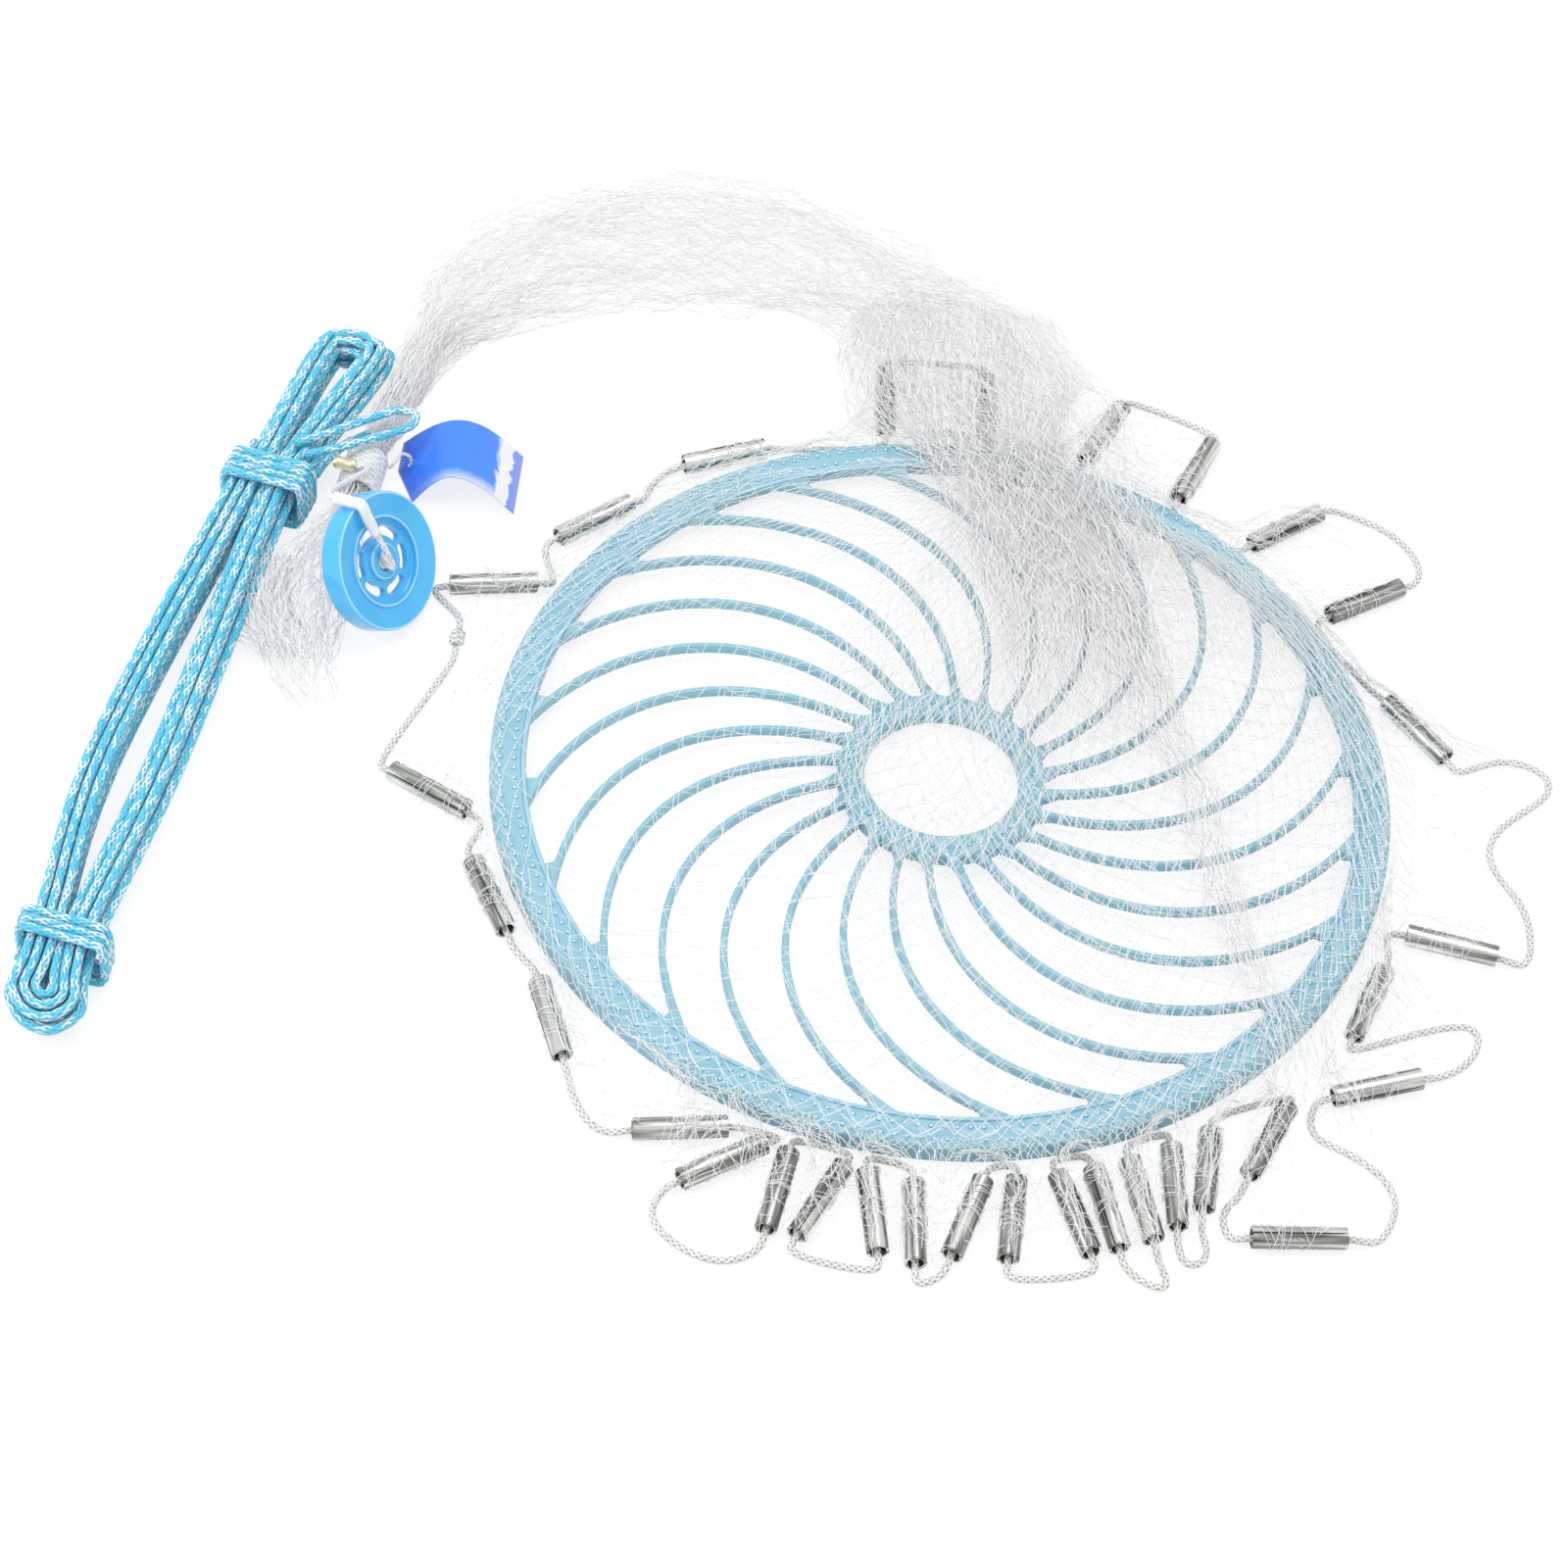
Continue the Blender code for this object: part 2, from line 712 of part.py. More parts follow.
def net_skirt():
    """The net's hem, from the top of the rim over the sinkers down to the lead line."""
    span = 360 / SKIRT_PARTS
    bearings, reaches = zip(*HEM)
    for p in range(SKIRT_PARTS):
        columns = []
        for c in range(SKIRT_COLUMNS + 1):
            bearing = p * span + span * c / SKIRT_COLUMNS
            inset = math.degrees((STRAND + GAP) / SKIRT_IN) * (1 - 2 * c / SKIRT_COLUMNS)
            edge = float(np.interp(bearing, bearings, reaches, period=360))
            rim = -SKIRT_ON_RIM * 1000
            offs = ((rim, "rim"), (0.45 * edge, "net"), (edge - SKIRT_LAST, "net"), (edge, "hem"))
            column = []
            for off, kind in offs:
                point = place(bearing + inset, off)
                column.append(point + Vector((0, 0, hem_height(point, kind))))
            columns.append(column)
        lattice(f"net_skirt_{p + 1}", [[column[i] for column in columns] for i in range(4)])


def under_net(point):
    """The height that the gathered net lies at: on the floor, or over the disc and its hem."""
    over = NET_Z + STRAND / 2 + 2 * GAP
    off = Vector((point.x, point.y, 0)).length - DISC_R
    near, run = NECK_CLIMB
    return over * max(0.0, min(1.0, (near + run - off) / run))


def gathered(name, rows, way, lifted, twist):
    """Net gathered into a soft bundle with folds along it, round where it leaves the horn."""
    per = NECK_STATIONS
    top_points, low_points = NECK_SIDES
    angles = [math.pi * k / (top_points - 1) for k in range(top_points)]
    angles += [math.pi + math.pi * (k + 1) / (low_points + 1) for k in range(low_points)]
    horn = place(*HORN_AT)
    core = HORN_CORE_R
    data = [(*(horn + way * reach), core, 2 * core) for reach in (GAP / 2, HORN_L / 2 + HORN_SLACK)]
    data += [(*place(b, off), w / 1000, h / 1000) for b, off, w, h in rows]
    stations = catmull(data, per)
    stations[:per] = np.linspace(data[0], data[1], per, endpoint=False)
    count = len(stations)
    bm = bmesh.new()
    rings = []
    for i, row in enumerate(stations):
        here = Vector(row[:3])
        ahead = Vector(stations[min(i + 1, count - 1)][:3]) - Vector(stations[max(i - 1, 0)][:3])
        ahead = way if i <= per else ahead.normalized()
        across = Vector((ahead.y, -ahead.x, 0))
        round_part = max(0.0, min(1.0, 1 - (i - per) / (1.5 * per)))
        folded = FOLD_DEPTH * min(1.0, max(0, i - per) / (2 * per))
        ring = []
        for a in angles:
            c, s = math.cos(a), math.sin(a)
            fold = 1 + folded * math.cos(2 * NECK_FOLDS * a + twist * i)
            x = row[3] * c * (1 - round_part) + core * c * round_part
            z = row[4] * max(0.0, s) ** 0.7 * fold * (1 - round_part) + (HORN_D / 2 + core * s) * round_part
            point = here + across * x
            lift = under_net(point) if lifted else 0.0
            ring.append(bm.verts.new((point.x, point.y, z + lift)))
        rings.append(ring)
    n = len(angles)
    for here, there in zip(rings, rings[1:]):
        for i in range(n):
            j = (i + 1) % n
            bm.faces.new((here[i], here[j], there[j], there[i]))
    bm.faces.new(rings[0])
    bm.faces.new(rings[-1])
    part(name, mesh_of(bm, name), "net", smooth=math.radians(50))


def horn_whipping():
    """The cord wound round the net where it is gathered: ribs on a sleeve."""
    inner = HORN_CORE_R + GAP
    outer = HORN_D / 2
    groove = (inner + outer) / 2
    pitch = HORN_L / HORN_TURNS
    profile = []
    for k in range(HORN_TURNS):
        top = HORN_L / 2 - k * pitch
        profile += [(groove, top), (outer, top - pitch * 0.25), (outer, top - pitch * 0.75)]
    profile += [(groove, -HORN_L / 2), (inner, -HORN_L / 2), (inner, HORN_L / 2)]
    ob = turned(part("horn_whipping", profile_mesh("horn_whipping", profile), "cord", smooth=None), HORN_SIDES)
    ob.rotation_mode = "QUATERNION"
    ob.rotation_quaternion = HORN_WAY.to_track_quat("Z", "Y")
    ob.location = place(*HORN_AT, HORN_D / 2)


def horn_side():
    """The level way out of the horn's right side."""
    return Vector((HORN_WAY.y, -HORN_WAY.x, 0))


def on_hank(along, beside, z):
    """A place beside the hank's bowed middle line, to its right where beside is over 0."""
    way = Vector((math.cos(HANK_BEARING), math.sin(HANK_BEARING), 0))
    right = Vector((way.y, -way.x, 0))
    knots = (0.0, *HANK_RUN, HANK_L)
    bows = [HANK_BOW * 4 * (k / HANK_L) * (1 - k / HANK_L) for k in knots]
    bow = float(np.interp(along, knots, bows))
    return place(*HANK_AT) + way * along + right * (beside - bow) + Vector((0, 0, z))


def hank_lift(along):
    """How high the hank's lowest rope lies, which is raised where a wrap passes under it."""
    lift = 0.0
    for which, at in WRAP_AT.items():
        half = WRAP_TURNS[which] * ROPE_PITCH / 2 + ROPE_D
        near = max(0.0, abs(along - at) - half)
        lift = max(lift, WRAP_LIFT * max(0.0, 1 - near / WRAP_LIFT_RUN))
    return ROPE_D / 2 + GAP / 2 + lift


def fold_place(kind, index, out):
    """A point of a loop's round end, the innermost moved out along its normal."""
    turn = math.pi * (index + 0.5) / FOLD_POINTS
    half = (HANK_OPEN[-1] if kind == "high" else HANK_OPEN[0]) + FOLD_SWELL[kind]
    reach = FOLD_REACH[kind]
    psi = math.atan2(reach * math.sin(turn), half * math.cos(turn))
    beside = half * math.cos(psi) + math.cos(turn) * out * FOLD_STEP
    ahead = reach * math.sin(psi) + math.sin(turn) * out * FOLD_STEP
    start = reach + HANK_LAYER_TURNS * FOLD_STEP + ROPE_D / 2
    if kind == "high":
        return HANK_L - start + ahead, -beside
    return start - ahead, beside


def hank_point(turn, spot):
    """One point of the hank's rope. The turn sets its layer and how far out it lies."""
    cycle = HANK_LAYER_TURNS + 0.5
    layer = min(int(turn / cycle), HANK_LAYERS - 1)
    within = turn - layer * cycle
    rise = max(0.0, min(1.0, (within - HANK_LAYER_TURNS) * 2))
    out = min(within, HANK_LAYER_TURNS) + CLIMB_BULGE * math.sin(math.pi * rise)
    if layer % 2 == 0:
        out = HANK_LAYER_TURNS - out
    kind, index = spot
    if kind in ("up", "down"):
        along = HANK_RUN[index]
        beside = (HANK_OPEN[index] + out * HANK_STEP) * (-1 if kind == "up" else 1)
    else:
        along, beside = fold_place(kind, index, out)
    return on_hank(along, beside - HANK_STEP / 4, hank_lift(along) + (layer + rise) * ROPE_PITCH)


def hand_rope_hank():
    """The rope's turns in four layers, one unbroken tube from the lower end's first run."""
    last = len(HANK_RUN) - 1
    half = FOLD_POINTS // 2
    order = [("low", i) for i in range(half, FOLD_POINTS)]
    order += [("up", i) for i in range(last + 1)]
    order += [("high", i) for i in range(FOLD_POINTS)]
    order += [("down", last - i) for i in range(last + 1)]
    order += [("low", i) for i in range(half)]
    each = len(order)
    turns = HANK_LAYERS * HANK_LAYER_TURNS + (HANK_LAYERS - 1) * 0.5
    spots = range(FOLD_POINTS - half, int(round(turns * each)) - half)
    points = [hank_point(k / each, order[k % each]) for k in spots]
    tube("hand_rope_hank", points, ROPE_D, "rope", resolution=1)
    print(f"hank: least gap to itself {least_gap(points, ROPE_D, 0.020) * 1000:.2f} mm")


def wrap_points(which):
    """Turns of rope close round the hank, square to it."""
    at, turns = WRAP_AT[which], WRAP_TURNS[which]
    reach = turns * ROPE_PITCH / 2
    half_w = max(hank_side(at - reach), hank_side(at + reach)) + WRAP_EASE + ROPE_D / 2
    half_h = hank_height() / 2 + WRAP_EASE + ROPE_D / 2
    mid = hank_lift(at) - ROPE_D / 2 + hank_height() / 2
    bend = ROPE_D + WRAP_EASE
    ring = []
    for cx, cz, start in ((-1, -1, 180), (1, -1, 270), (1, 1, 0), (-1, 1, 90)):
        for k in range(3):
            a = math.radians(start + 45 * k)
            ring.append((cx * (half_w - bend) + bend * math.cos(a), cz * (half_h - bend) + bend * math.sin(a)))
    points = []
    for k in range(turns * len(ring) + 1):
        x, z = ring[k % len(ring)]
        points.append(on_hank(at + k / len(ring) * ROPE_PITCH - reach, x, mid + z))
    return points


def rope_wraps():
    for which in WRAP_TURNS:
        points = wrap_points(which)
        tube(f"rope_wrap_{which}", points, ROPE_D, "rope", resolution=1)
        print(f"{which} wrap: least gap to itself {least_gap(points, ROPE_D, 0.020) * 1000:.2f} mm")


def hank_height():
    return (HANK_LAYERS - 1) * ROPE_PITCH + ROPE_D


def hank_side(along):
    """How far the hank's outer side lies from its middle."""
    stand = float(np.interp(along, HANK_RUN, HANK_OPEN))
    return stand + HANK_LAYER_TURNS * HANK_STEP + ROPE_D / 2


def free_rope(name, route):
    """A stretch of rope that lies free, through a few places beside the hank."""
    fine = catmull([list(on_hank(*spot)) for spot in route], 3)
    tube(name, fine, ROPE_D, "rope")


def wheel_frame():
    """The wheel's place, leaning back with its edge on the floor, and its turn."""
    level = math.hypot(WHEEL_FACES.x, WHEEL_FACES.y)
    rim, half = WHEEL_D / 2, WHEEL_T / 2
    corners = ((rim - WHEEL_EDGE, half), (rim, half - WHEEL_EDGE))
    low = max(r * level + z * WHEEL_FACES.z for r, z in corners) + GAP
    return place(*WHEEL_AT, low), WHEEL_FACES.to_track_quat("Z", "Y").to_matrix().to_4x4()


def kidney(inner, outer, middle, span, steps=3):
    """The outline of a curved slot, whose ends are square."""
    arc = [middle + span * (k / steps - 0.5) for k in range(steps + 1)]
    out = [(outer * math.cos(a), outer * math.sin(a)) for a in arc]
    back = [(inner * math.cos(a), inner * math.sin(a)) for a in reversed(arc)]
    return out + back


def wheel():
    rim, half = WHEEL_D / 2, WHEEL_T / 2
    ring_out, ring_in = WHEEL_RING_D / 2, WHEEL_RING_D / 2 - WHEEL_RING_W
    web, hub_half = WHEEL_WEB_T / 2, WHEEL_HUB_T / 2
    dish = half * WHEEL_DISH
    upper = [
        (WHEEL_BORE_D / 2, hub_half),
        (WHEEL_HUB_D / 2, hub_half),
        (WHEEL_HUB_D / 2, web),
        (ring_in, web),
        (ring_in, dish + WHEEL_RING_H),
        (ring_out, dish + WHEEL_RING_H),
        (ring_out, dish),
        (rim - WHEEL_EDGE, half),
        (rim, half - WHEEL_EDGE),
    ]
    profile = upper + [(r, -z) for r, z in reversed(upper)]
    ob = turned(part("wheel", profile_mesh("wheel", profile), "wheel", smooth=None), WHEEL_SIDES)
    spot, turn = wheel_frame()
    ob.matrix_local = Matrix.Translation(spot) @ turn
    middle = (WHEEL_HUB_D / 2 + ring_in) / 2
    bm = bmesh.new()
    for k in range(WHEEL_SLOTS):
        a = 2 * math.pi * (k + 0.5) / WHEEL_SLOTS
        outline = kidney(middle - WHEEL_SLOT_W / 2, middle + WHEEL_SLOT_W / 2, a, WHEEL_SLOT_SPAN)
        blank = bpy.data.objects.new("slot_curve", flat_shape("slot_curve", outline, WHEEL_T))
        CUTTERS.objects.link(blank)
        bm.from_mesh(solid_from_curve(blank))
    cutter = guide("slot_cutters", mesh_of(bm, "slot_cutters"))
    cutter.matrix_local = ob.matrix_local
    boolean(ob, cutter, "DIFFERENCE")


def ferrule_at():
    side, ahead = FERRULE_ON_HORN
    radius = CORD_D / 2 + FERRULE_EASE + FERRULE_WALL
    return place(*HORN_AT, HORN_D + radius) + horn_side() * side + HORN_WAY * ahead


def wheel_cord():
    """The white cord: from its ferrule over the wheel's top and down its face to its bore."""
    spot, turn = wheel_frame()
    level = Vector((-WHEEL_FACES.y, WHEEL_FACES.x, 0)).normalized()
    up = WHEEL_FACES.cross(level)
    up = up if up.z > 0 else -up

    def on_wheel(radial, front):
        return spot + up * radial + WHEEL_FACES * front

    face = WHEEL_T / 2 + CORD_D / 2 + 2 * GAP
    rim = WHEEL_D / 2 + CORD_D / 2 + 3 * GAP
    start, side = ferrule_at(), horn_side()
    end = FERRULE_L / 2 + GAP
    bend = 2 * CORD_D
    route = [
        start - side * (end - 3 * GAP),
        start,
        start + side * end,
        start + side * (end + bend) - HORN_WAY * bend / 2 + Vector((0, 0, bend / 4)),
        on_wheel(rim + bend, -WHEEL_T / 2),
        on_wheel(rim + GAP, WHEEL_T / 4),
        on_wheel(rim - 0.0020, face + 0.0012),
        on_wheel(rim - 0.0100, face + 0.0006),
        on_wheel(WHEEL_D / 4, face),
        on_wheel(0.0040, face - GAP),
        on_wheel(0.0004, face - 0.0040),
        on_wheel(0.0, WHEEL_T / 6),
    ]
    fine = catmull([list(p) for p in route], 2)
    cord = bpy.data.objects.new("cord_curve", curve_data("cord_curve", fine, CORD_D / 2, 2))
    CUTTERS.objects.link(cord)
    ob = part("wheel_cord", solid_from_curve(cord), "cord")
    bm = bmesh.new()
    bmesh.ops.create_uvsphere(bm, u_segments=KNOT_SIDES[0], v_segments=KNOT_SIDES[1], radius=0.5)
    width = WHEEL_BORE_D - 2.6 * GAP
    bmesh.ops.scale(bm, vec=(width, width, WHEEL_T * 0.9), verts=bm.verts)
    knot = guide("cord_knot", mesh_of(bm, "cord_knot"))
    knot.matrix_local = Matrix.Translation(spot) @ turn
    boolean(ob, knot, "UNION")


def ferrule():
    """A brass sleeve crimped on the cord's end, lying across the horn."""
    bore = CORD_D / 2 + FERRULE_EASE
    r = bore + FERRULE_WALL
    waist = r - FERRULE_WALL / 3
    half = FERRULE_L / 2
    profile = [(bore, half), (waist, half), (r, half * 0.8), (waist, half * 0.2)]
    profile += [(waist, -half * 0.2), (r, -half * 0.8), (waist, -half), (bore, -half)]
    ob = turned(part("ferrule", profile_mesh("ferrule", profile), "brass", smooth=None), FERRULE_SIDES)
    ob.rotation_mode = "QUATERNION"
    ob.rotation_quaternion = horn_side().to_track_quat("Z", "Y")
    ob.location = ferrule_at()


def tag_height(x):
    """The arch that the card stands in, from one end on the floor to the other."""
    return TAG_RISE * math.cos(math.pi * x / TAG_L)


def tag_slant(x, y):
    """How far the card's left end is slanted inwards, in front of its middle line."""
    return TAG_SLANT * max(0.0, -2 * x / TAG_L) * max(0.0, -2 * y / TAG_W)


def tag():
    bm = bmesh.new()
    bmesh.ops.create_grid(bm, x_segments=TAG_STEPS, y_segments=2, size=0.5)
    for v in bm.verts:
        x, y = v.co.x * TAG_L, v.co.y * TAG_W
        v.co = (x + tag_slant(x, y), y, tag_height(x) + TAG_T)
    ob = part("tag", mesh_of(bm, "tag"), "tag")
    mod = ob.modifiers.new("card", "SOLIDIFY")
    mod.thickness = TAG_T
    mod.offset = 0.0
    ob.location = place(*TAG_AT)
    bm = bmesh.new()
    hole = TAG_HOLE_D / 2
    bmesh.ops.create_cone(bm, cap_ends=True, segments=HOLE_SIDES, radius1=hole, radius2=hole, depth=TAG_RISE)
    cutter = guide("tag_hole", mesh_of(bm, "tag_hole"))
    cutter.location = tag_hole()
    boolean(ob, cutter, "DIFFERENCE")


def tag_hole():
    x = -TAG_L / 2 + TAG_HOLE_IN
    return place(*TAG_AT) + Vector((x, 0, tag_height(x) + TAG_T))


def tag_string():
    """The loop's strand from the horn's side down through the card's hole."""
    hole = tag_hole()
    side = horn_side()
    start = place(*HORN_AT, HORN_D / 2) + side * (HORN_D / 2 + STRING_D / 2 + GAP) + HORN_WAY * HORN_L * 0.3
    route = [
        start,
        start + Vector((0.002, 0.001, 0.003)),
        hole + Vector((-0.004, -0.001, 0.007)),
        hole + Vector((0, 0, 0.004)),
        hole - Vector((0, 0, hole.z - STRING_D)),
    ]
    tube("tag_string", catmull([list(p) for p in route], 2), STRING_D, "cord")


def centre_on_box():
    """Moves the whole layout so that the origin is under the middle of its box."""
    bpy.context.view_layer.update()
    graph = bpy.context.evaluated_depsgraph_get()
    low = np.full(3, 1e9)
    high = -low
    for ob in PARTS.objects:
        if ob.type == "EMPTY" or ob.name in CORD_NODES:
            continue
        shape = ob.evaluated_get(graph).to_mesh()
        at = np.array([list(ob.matrix_world @ v.co) for v in shape.vertices])
        low, high = np.minimum(low, at.min(axis=0)), np.maximum(high, at.max(axis=0))
        ob.evaluated_get(graph).to_mesh_clear()
    LAYOUT.location = (-(low[0] + high[0]) / 2, -(low[1] + high[1]) / 2, -low[2])
    print("box without the rope, in millimetres:", np.round((high - low) * 1000, 1))
    print("the disc's centre:", [round(v, 5) for v in LAYOUT.location])
    bpy.context.view_layer.update()


def main():
    throwing_disc()
    sinkers()
    lead_line()
    net_crown()
    net_skirt()
    gathered("net_neck", NECK, HORN_WAY, True, 0.35)
    gathered("net_tail", TAIL, -HORN_WAY, False, 0.5)
    horn_whipping()
    ferrule()
    hand_rope_hank()
    rope_wraps()
    free_rope("rope_bow", BOW)
    free_rope("hand_rope_lead", LEAD)
    wheel()
    wheel_cord()
    tag()
    tag_string()
    centre_on_box()


clear_scene()
PARTS = collection("cast_net")
CUTTERS = collection("cutters")
LAYOUT = bpy.data.objects.new("layout", None)
PARTS.objects.link(LAYOUT)
main()
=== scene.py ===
"""Looks of the cast net: every visible surface, the netting thread by thread, light and camera."""

import json
import math

import bmesh
import bpy
import numpy as np
from mathutils import Matrix, Vector, noise


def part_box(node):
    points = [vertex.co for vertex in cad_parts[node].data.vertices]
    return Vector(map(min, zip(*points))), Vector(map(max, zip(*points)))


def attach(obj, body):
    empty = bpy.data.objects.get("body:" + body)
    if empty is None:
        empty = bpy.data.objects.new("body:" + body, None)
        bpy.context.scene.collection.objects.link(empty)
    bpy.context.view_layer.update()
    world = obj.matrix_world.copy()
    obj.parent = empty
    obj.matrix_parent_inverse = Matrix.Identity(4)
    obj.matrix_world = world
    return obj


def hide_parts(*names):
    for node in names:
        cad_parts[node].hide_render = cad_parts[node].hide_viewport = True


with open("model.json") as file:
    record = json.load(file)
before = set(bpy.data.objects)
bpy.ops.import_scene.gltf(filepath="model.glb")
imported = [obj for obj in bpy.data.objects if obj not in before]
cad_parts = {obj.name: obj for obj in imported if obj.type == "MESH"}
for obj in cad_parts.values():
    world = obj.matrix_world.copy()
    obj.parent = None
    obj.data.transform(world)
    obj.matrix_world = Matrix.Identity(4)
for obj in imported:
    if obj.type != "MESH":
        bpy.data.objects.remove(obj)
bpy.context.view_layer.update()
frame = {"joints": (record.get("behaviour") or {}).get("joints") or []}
BODY = "net_and_disc"

# Without a seed, vector noise takes its offsets from the clock
noise.seed_set(1)

# The disc's place and size come from the frame, the rest of its sizes are the part's own
DISC_LOW, DISC_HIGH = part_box("throwing_disc")
DISC_R = (DISC_HIGH.x - DISC_LOW.x) / 2
CENTRE = np.array([(DISC_HIGH.x + DISC_LOW.x) / 2, (DISC_HIGH.y + DISC_LOW.y) / 2, 0.0])
DISC_H = 0.010
RIM_W = 0.016
RIM_TOP_T = 0.0026
RIM_WALL_T = 0.0026
RIM_EDGE_R = 0.0016
BEAD_H = 0.0007
BEAD_W = 0.0022
LIP_H = 0.0045
HUB_HOLE_R = 0.0345
HUB_W = 0.0118
HUB_H = 0.0066
HUB_R = HUB_HOLE_R + HUB_W
SPOKES = 24
SPOKE_W = 0.0031
SPOKE_H = 0.0046
SPOKE_DROP = 0.0005
SPOKE_SWEEP = math.radians(47)
SPOKE_LEAVES = math.radians(8)
SPOKE_ARRIVES = math.radians(108)
SPOKE_HUB_HANDLE = 0.072
SPOKE_RIM_HANDLE = 0.068
SPOKE_PHASE = math.radians(11.4)
SPOKE_STEPS = 26
GUSSET = 0.011
ROOT = 0.0015
BUMP_R = 0.0011
BUMP_H = 0.0008
BUMP_STEP = 0.0055
BUMP_ROWS = (0.0045, 0.0107)

# The rolled sinkers, and how far the open seam turns from one to the next
SINKER_R = 0.0048
SINKER_WALL = 0.0013
SINKER_L = 0.040
SEAM = 0.0006
SEAM_TURN = math.radians(67)

# The lead line: the length, width and height of its knot, how far out of a sinker it is
# straight and how far out it is down on the floor, and how far inside it is straight
LINE_D = 0.0030
LINE_KNOT = (0.0105, 0.0085, 0.0062)
LINE_OUT = (0.0035, 0.0095)
LINE_IN = 0.007
LINE_WALL = 0.0015
GAP = 0.0003

# The hand rope, its hank and the two windings round it
ROPE_D = 0.0040
ROPE_PITCH = 0.00455
HANK_STEP = 0.0047
FOLD_STEP = 0.0051
HANK_LAYERS = 4
HANK_LAYER_TURNS = 2.5
HANK_L = 0.430
HANK_BOW = 0.0135
HANK_BEARING = math.radians(80)
FOLD_SWELL = {"low": 0.0025, "high": 0.0052}
FOLD_REACH = {"low": 0.0095, "high": 0.0125}
FOLD_POINTS = 5
CLIMB_BULGE = 0.12
WRAP_TURNS = {"lower": 3, "upper": 4}
WRAP_AT = {"lower": 0.044, "upper": 0.318}
WRAP_EASE = 0.0010
WRAP_LIFT_RUN = 0.040
WRAP_LIFT = ROPE_D + WRAP_EASE + GAP
HANK_AT = (208.2, 214)
HANK_RUN = (0.030, 0.058, 0.150, 0.302, 0.338)
HANK_OPEN = (0.0021, 0.0022, 0.0080, 0.0021, 0.0021)

# Two free stretches of rope: along, beside and above the hank
BOW = (
    (0.3389, 0.0046, 0.0243),
    (0.3533, 0.0185, 0.0243),
    (0.3691, 0.0322, 0.0236),
    (0.3761, 0.0392, 0.0226),
    (0.3763, 0.0470, 0.0220),
    (0.3689, 0.0480, 0.0224),
    (0.3607, 0.0424, 0.0236),
    (0.3461, 0.0278, 0.0247),
    (0.3331, 0.0124, 0.0254),
)
LEAD = (
    (0.3325, 0.0172, 0.0140),
    (0.3430, 0.0180, 0.0135),
    (0.3550, 0.0225, 0.0150),
    (0.3590, 0.0252, 0.0150),
    (0.3650, 0.0290, 0.0140),
)

# Which way the lead line runs through each sinker, and the places (bearing, millimetres
# outside the rim) that it goes round after some of them
LINE_FLOW = (
    "in out out in out in out in out in out in out in out in "
    "out out out in out in out in out in out in out out out"
).split()
LINE_VIA = {
    3: ((233.4, 37), (236.6, 43)),
    5: ((246.9, 70), (254.1, 77)),
    13: ((292.8, 73), (294.2, 73)),
    15: ((296.2, 67), (298.7, 67)),
    17: ((304.2, 45), (301.9, 48)),
    18: ((312.8, 94), (317.7, 82), (317.2, 53), (314.8, 37)),
    19: ((333.8, 67), (339.7, 59)),
    21: ((346.8, 71), (353.5, 65), (357.2, 44), (2.8, 46), (7.0, 78), (10.2, 76), (12.2, 56)),
    23: ((37.2, 71), (42.2, 74)),
    29: ((132.6, 17),),
}
LINE_KNOT_AT = (166.9, 29)

# The gathered net: bearing and millimetres outside the rim, half its width, its height.
# It runs from the whipped horn over the disc, and its loose end the other way
NECK_ENTERS = 81.3
NECK = (
    (145.3, 129, 8.5, 18),
    (138.0, 148, 12.8, 20),
    (130.3, 162, 32, 25),
    (122.3, 160, 38, 29),
    (114.9, 149, 41, 31),
    (107.0, 128, 40, 29),
    (98.9, 91, 41, 25),
    (90.0, 43, 46, 19),
    (NECK_ENTERS, -3, 52, 13),
    (73.7, -44, 50, 9),
    (66.4, -80, 40, 6),
    (60.6, -110, 24, 3.5),
)
TAIL = (
    (158.9, 103, 12, 18),
    (162.3, 103, 15, 22),
    (167.5, 101, 18, 28),
    (171.8, 96, 19, 30),
    (175.5, 88, 16, 24),
    (178.0, 78, 8, 11),
)
HORN_AT = (153.7, 111)
HORN_WAY = np.array([0.10, 0.995, 0.0]) / math.hypot(0.10, 0.995)
HORN_D = 0.0200
HORN_L = 0.0240
HORN_CORE_R = 0.0067
NECK_CLIMB = (0.089, 0.013)
HORN_SLACK = 0.0015

# How far from the horn the gathered net keeps close to its outline, clear of the tag's swing
CALM_FROM = 0.070
CALM_RUN = 0.040

THREAD_D = 0.00036
NYLON_ALPHA = 0.68
BAR = 0.0092
NET_Z = 0.0113
NET_RISE = 0.0012
HUB_SAG = 0.005
HEM_DROP = 0.0085
CROWN_LAYER_H = 0.0007
HEM_LAYER_H = 0.0006

# How far the middle of a bar of the net strays
SLACK = {"crown": 0.0006, "hem": 0.0008, "gathered": 0.0010, "fold": 0.0004}
HEM_ROWS = 10
HEM_COLUMNS = (301, 341)

# The net over the disc, a layer a row: its threads, and its spread and turn in degrees
CROWN_LAYERS = (
    (76, -64, 70, 0),
    (52, -30, 68, 5),
    (34, -67, -38, -3),
    (88, -22, 73, 1),
    (74, -4, 70, -4),
    (56, 12, 66, 3),
)

# Tubes of net inside each other in the gathered net and its loose end: size, threads round
NECK_TUBES = ((1.0, 52), (0.92, 46), (0.80, 40), (0.62, 34), (0.42, 26))
TAIL_TUBES = ((1.0, 34), (0.85, 30), (0.65, 24), (0.4, 18))

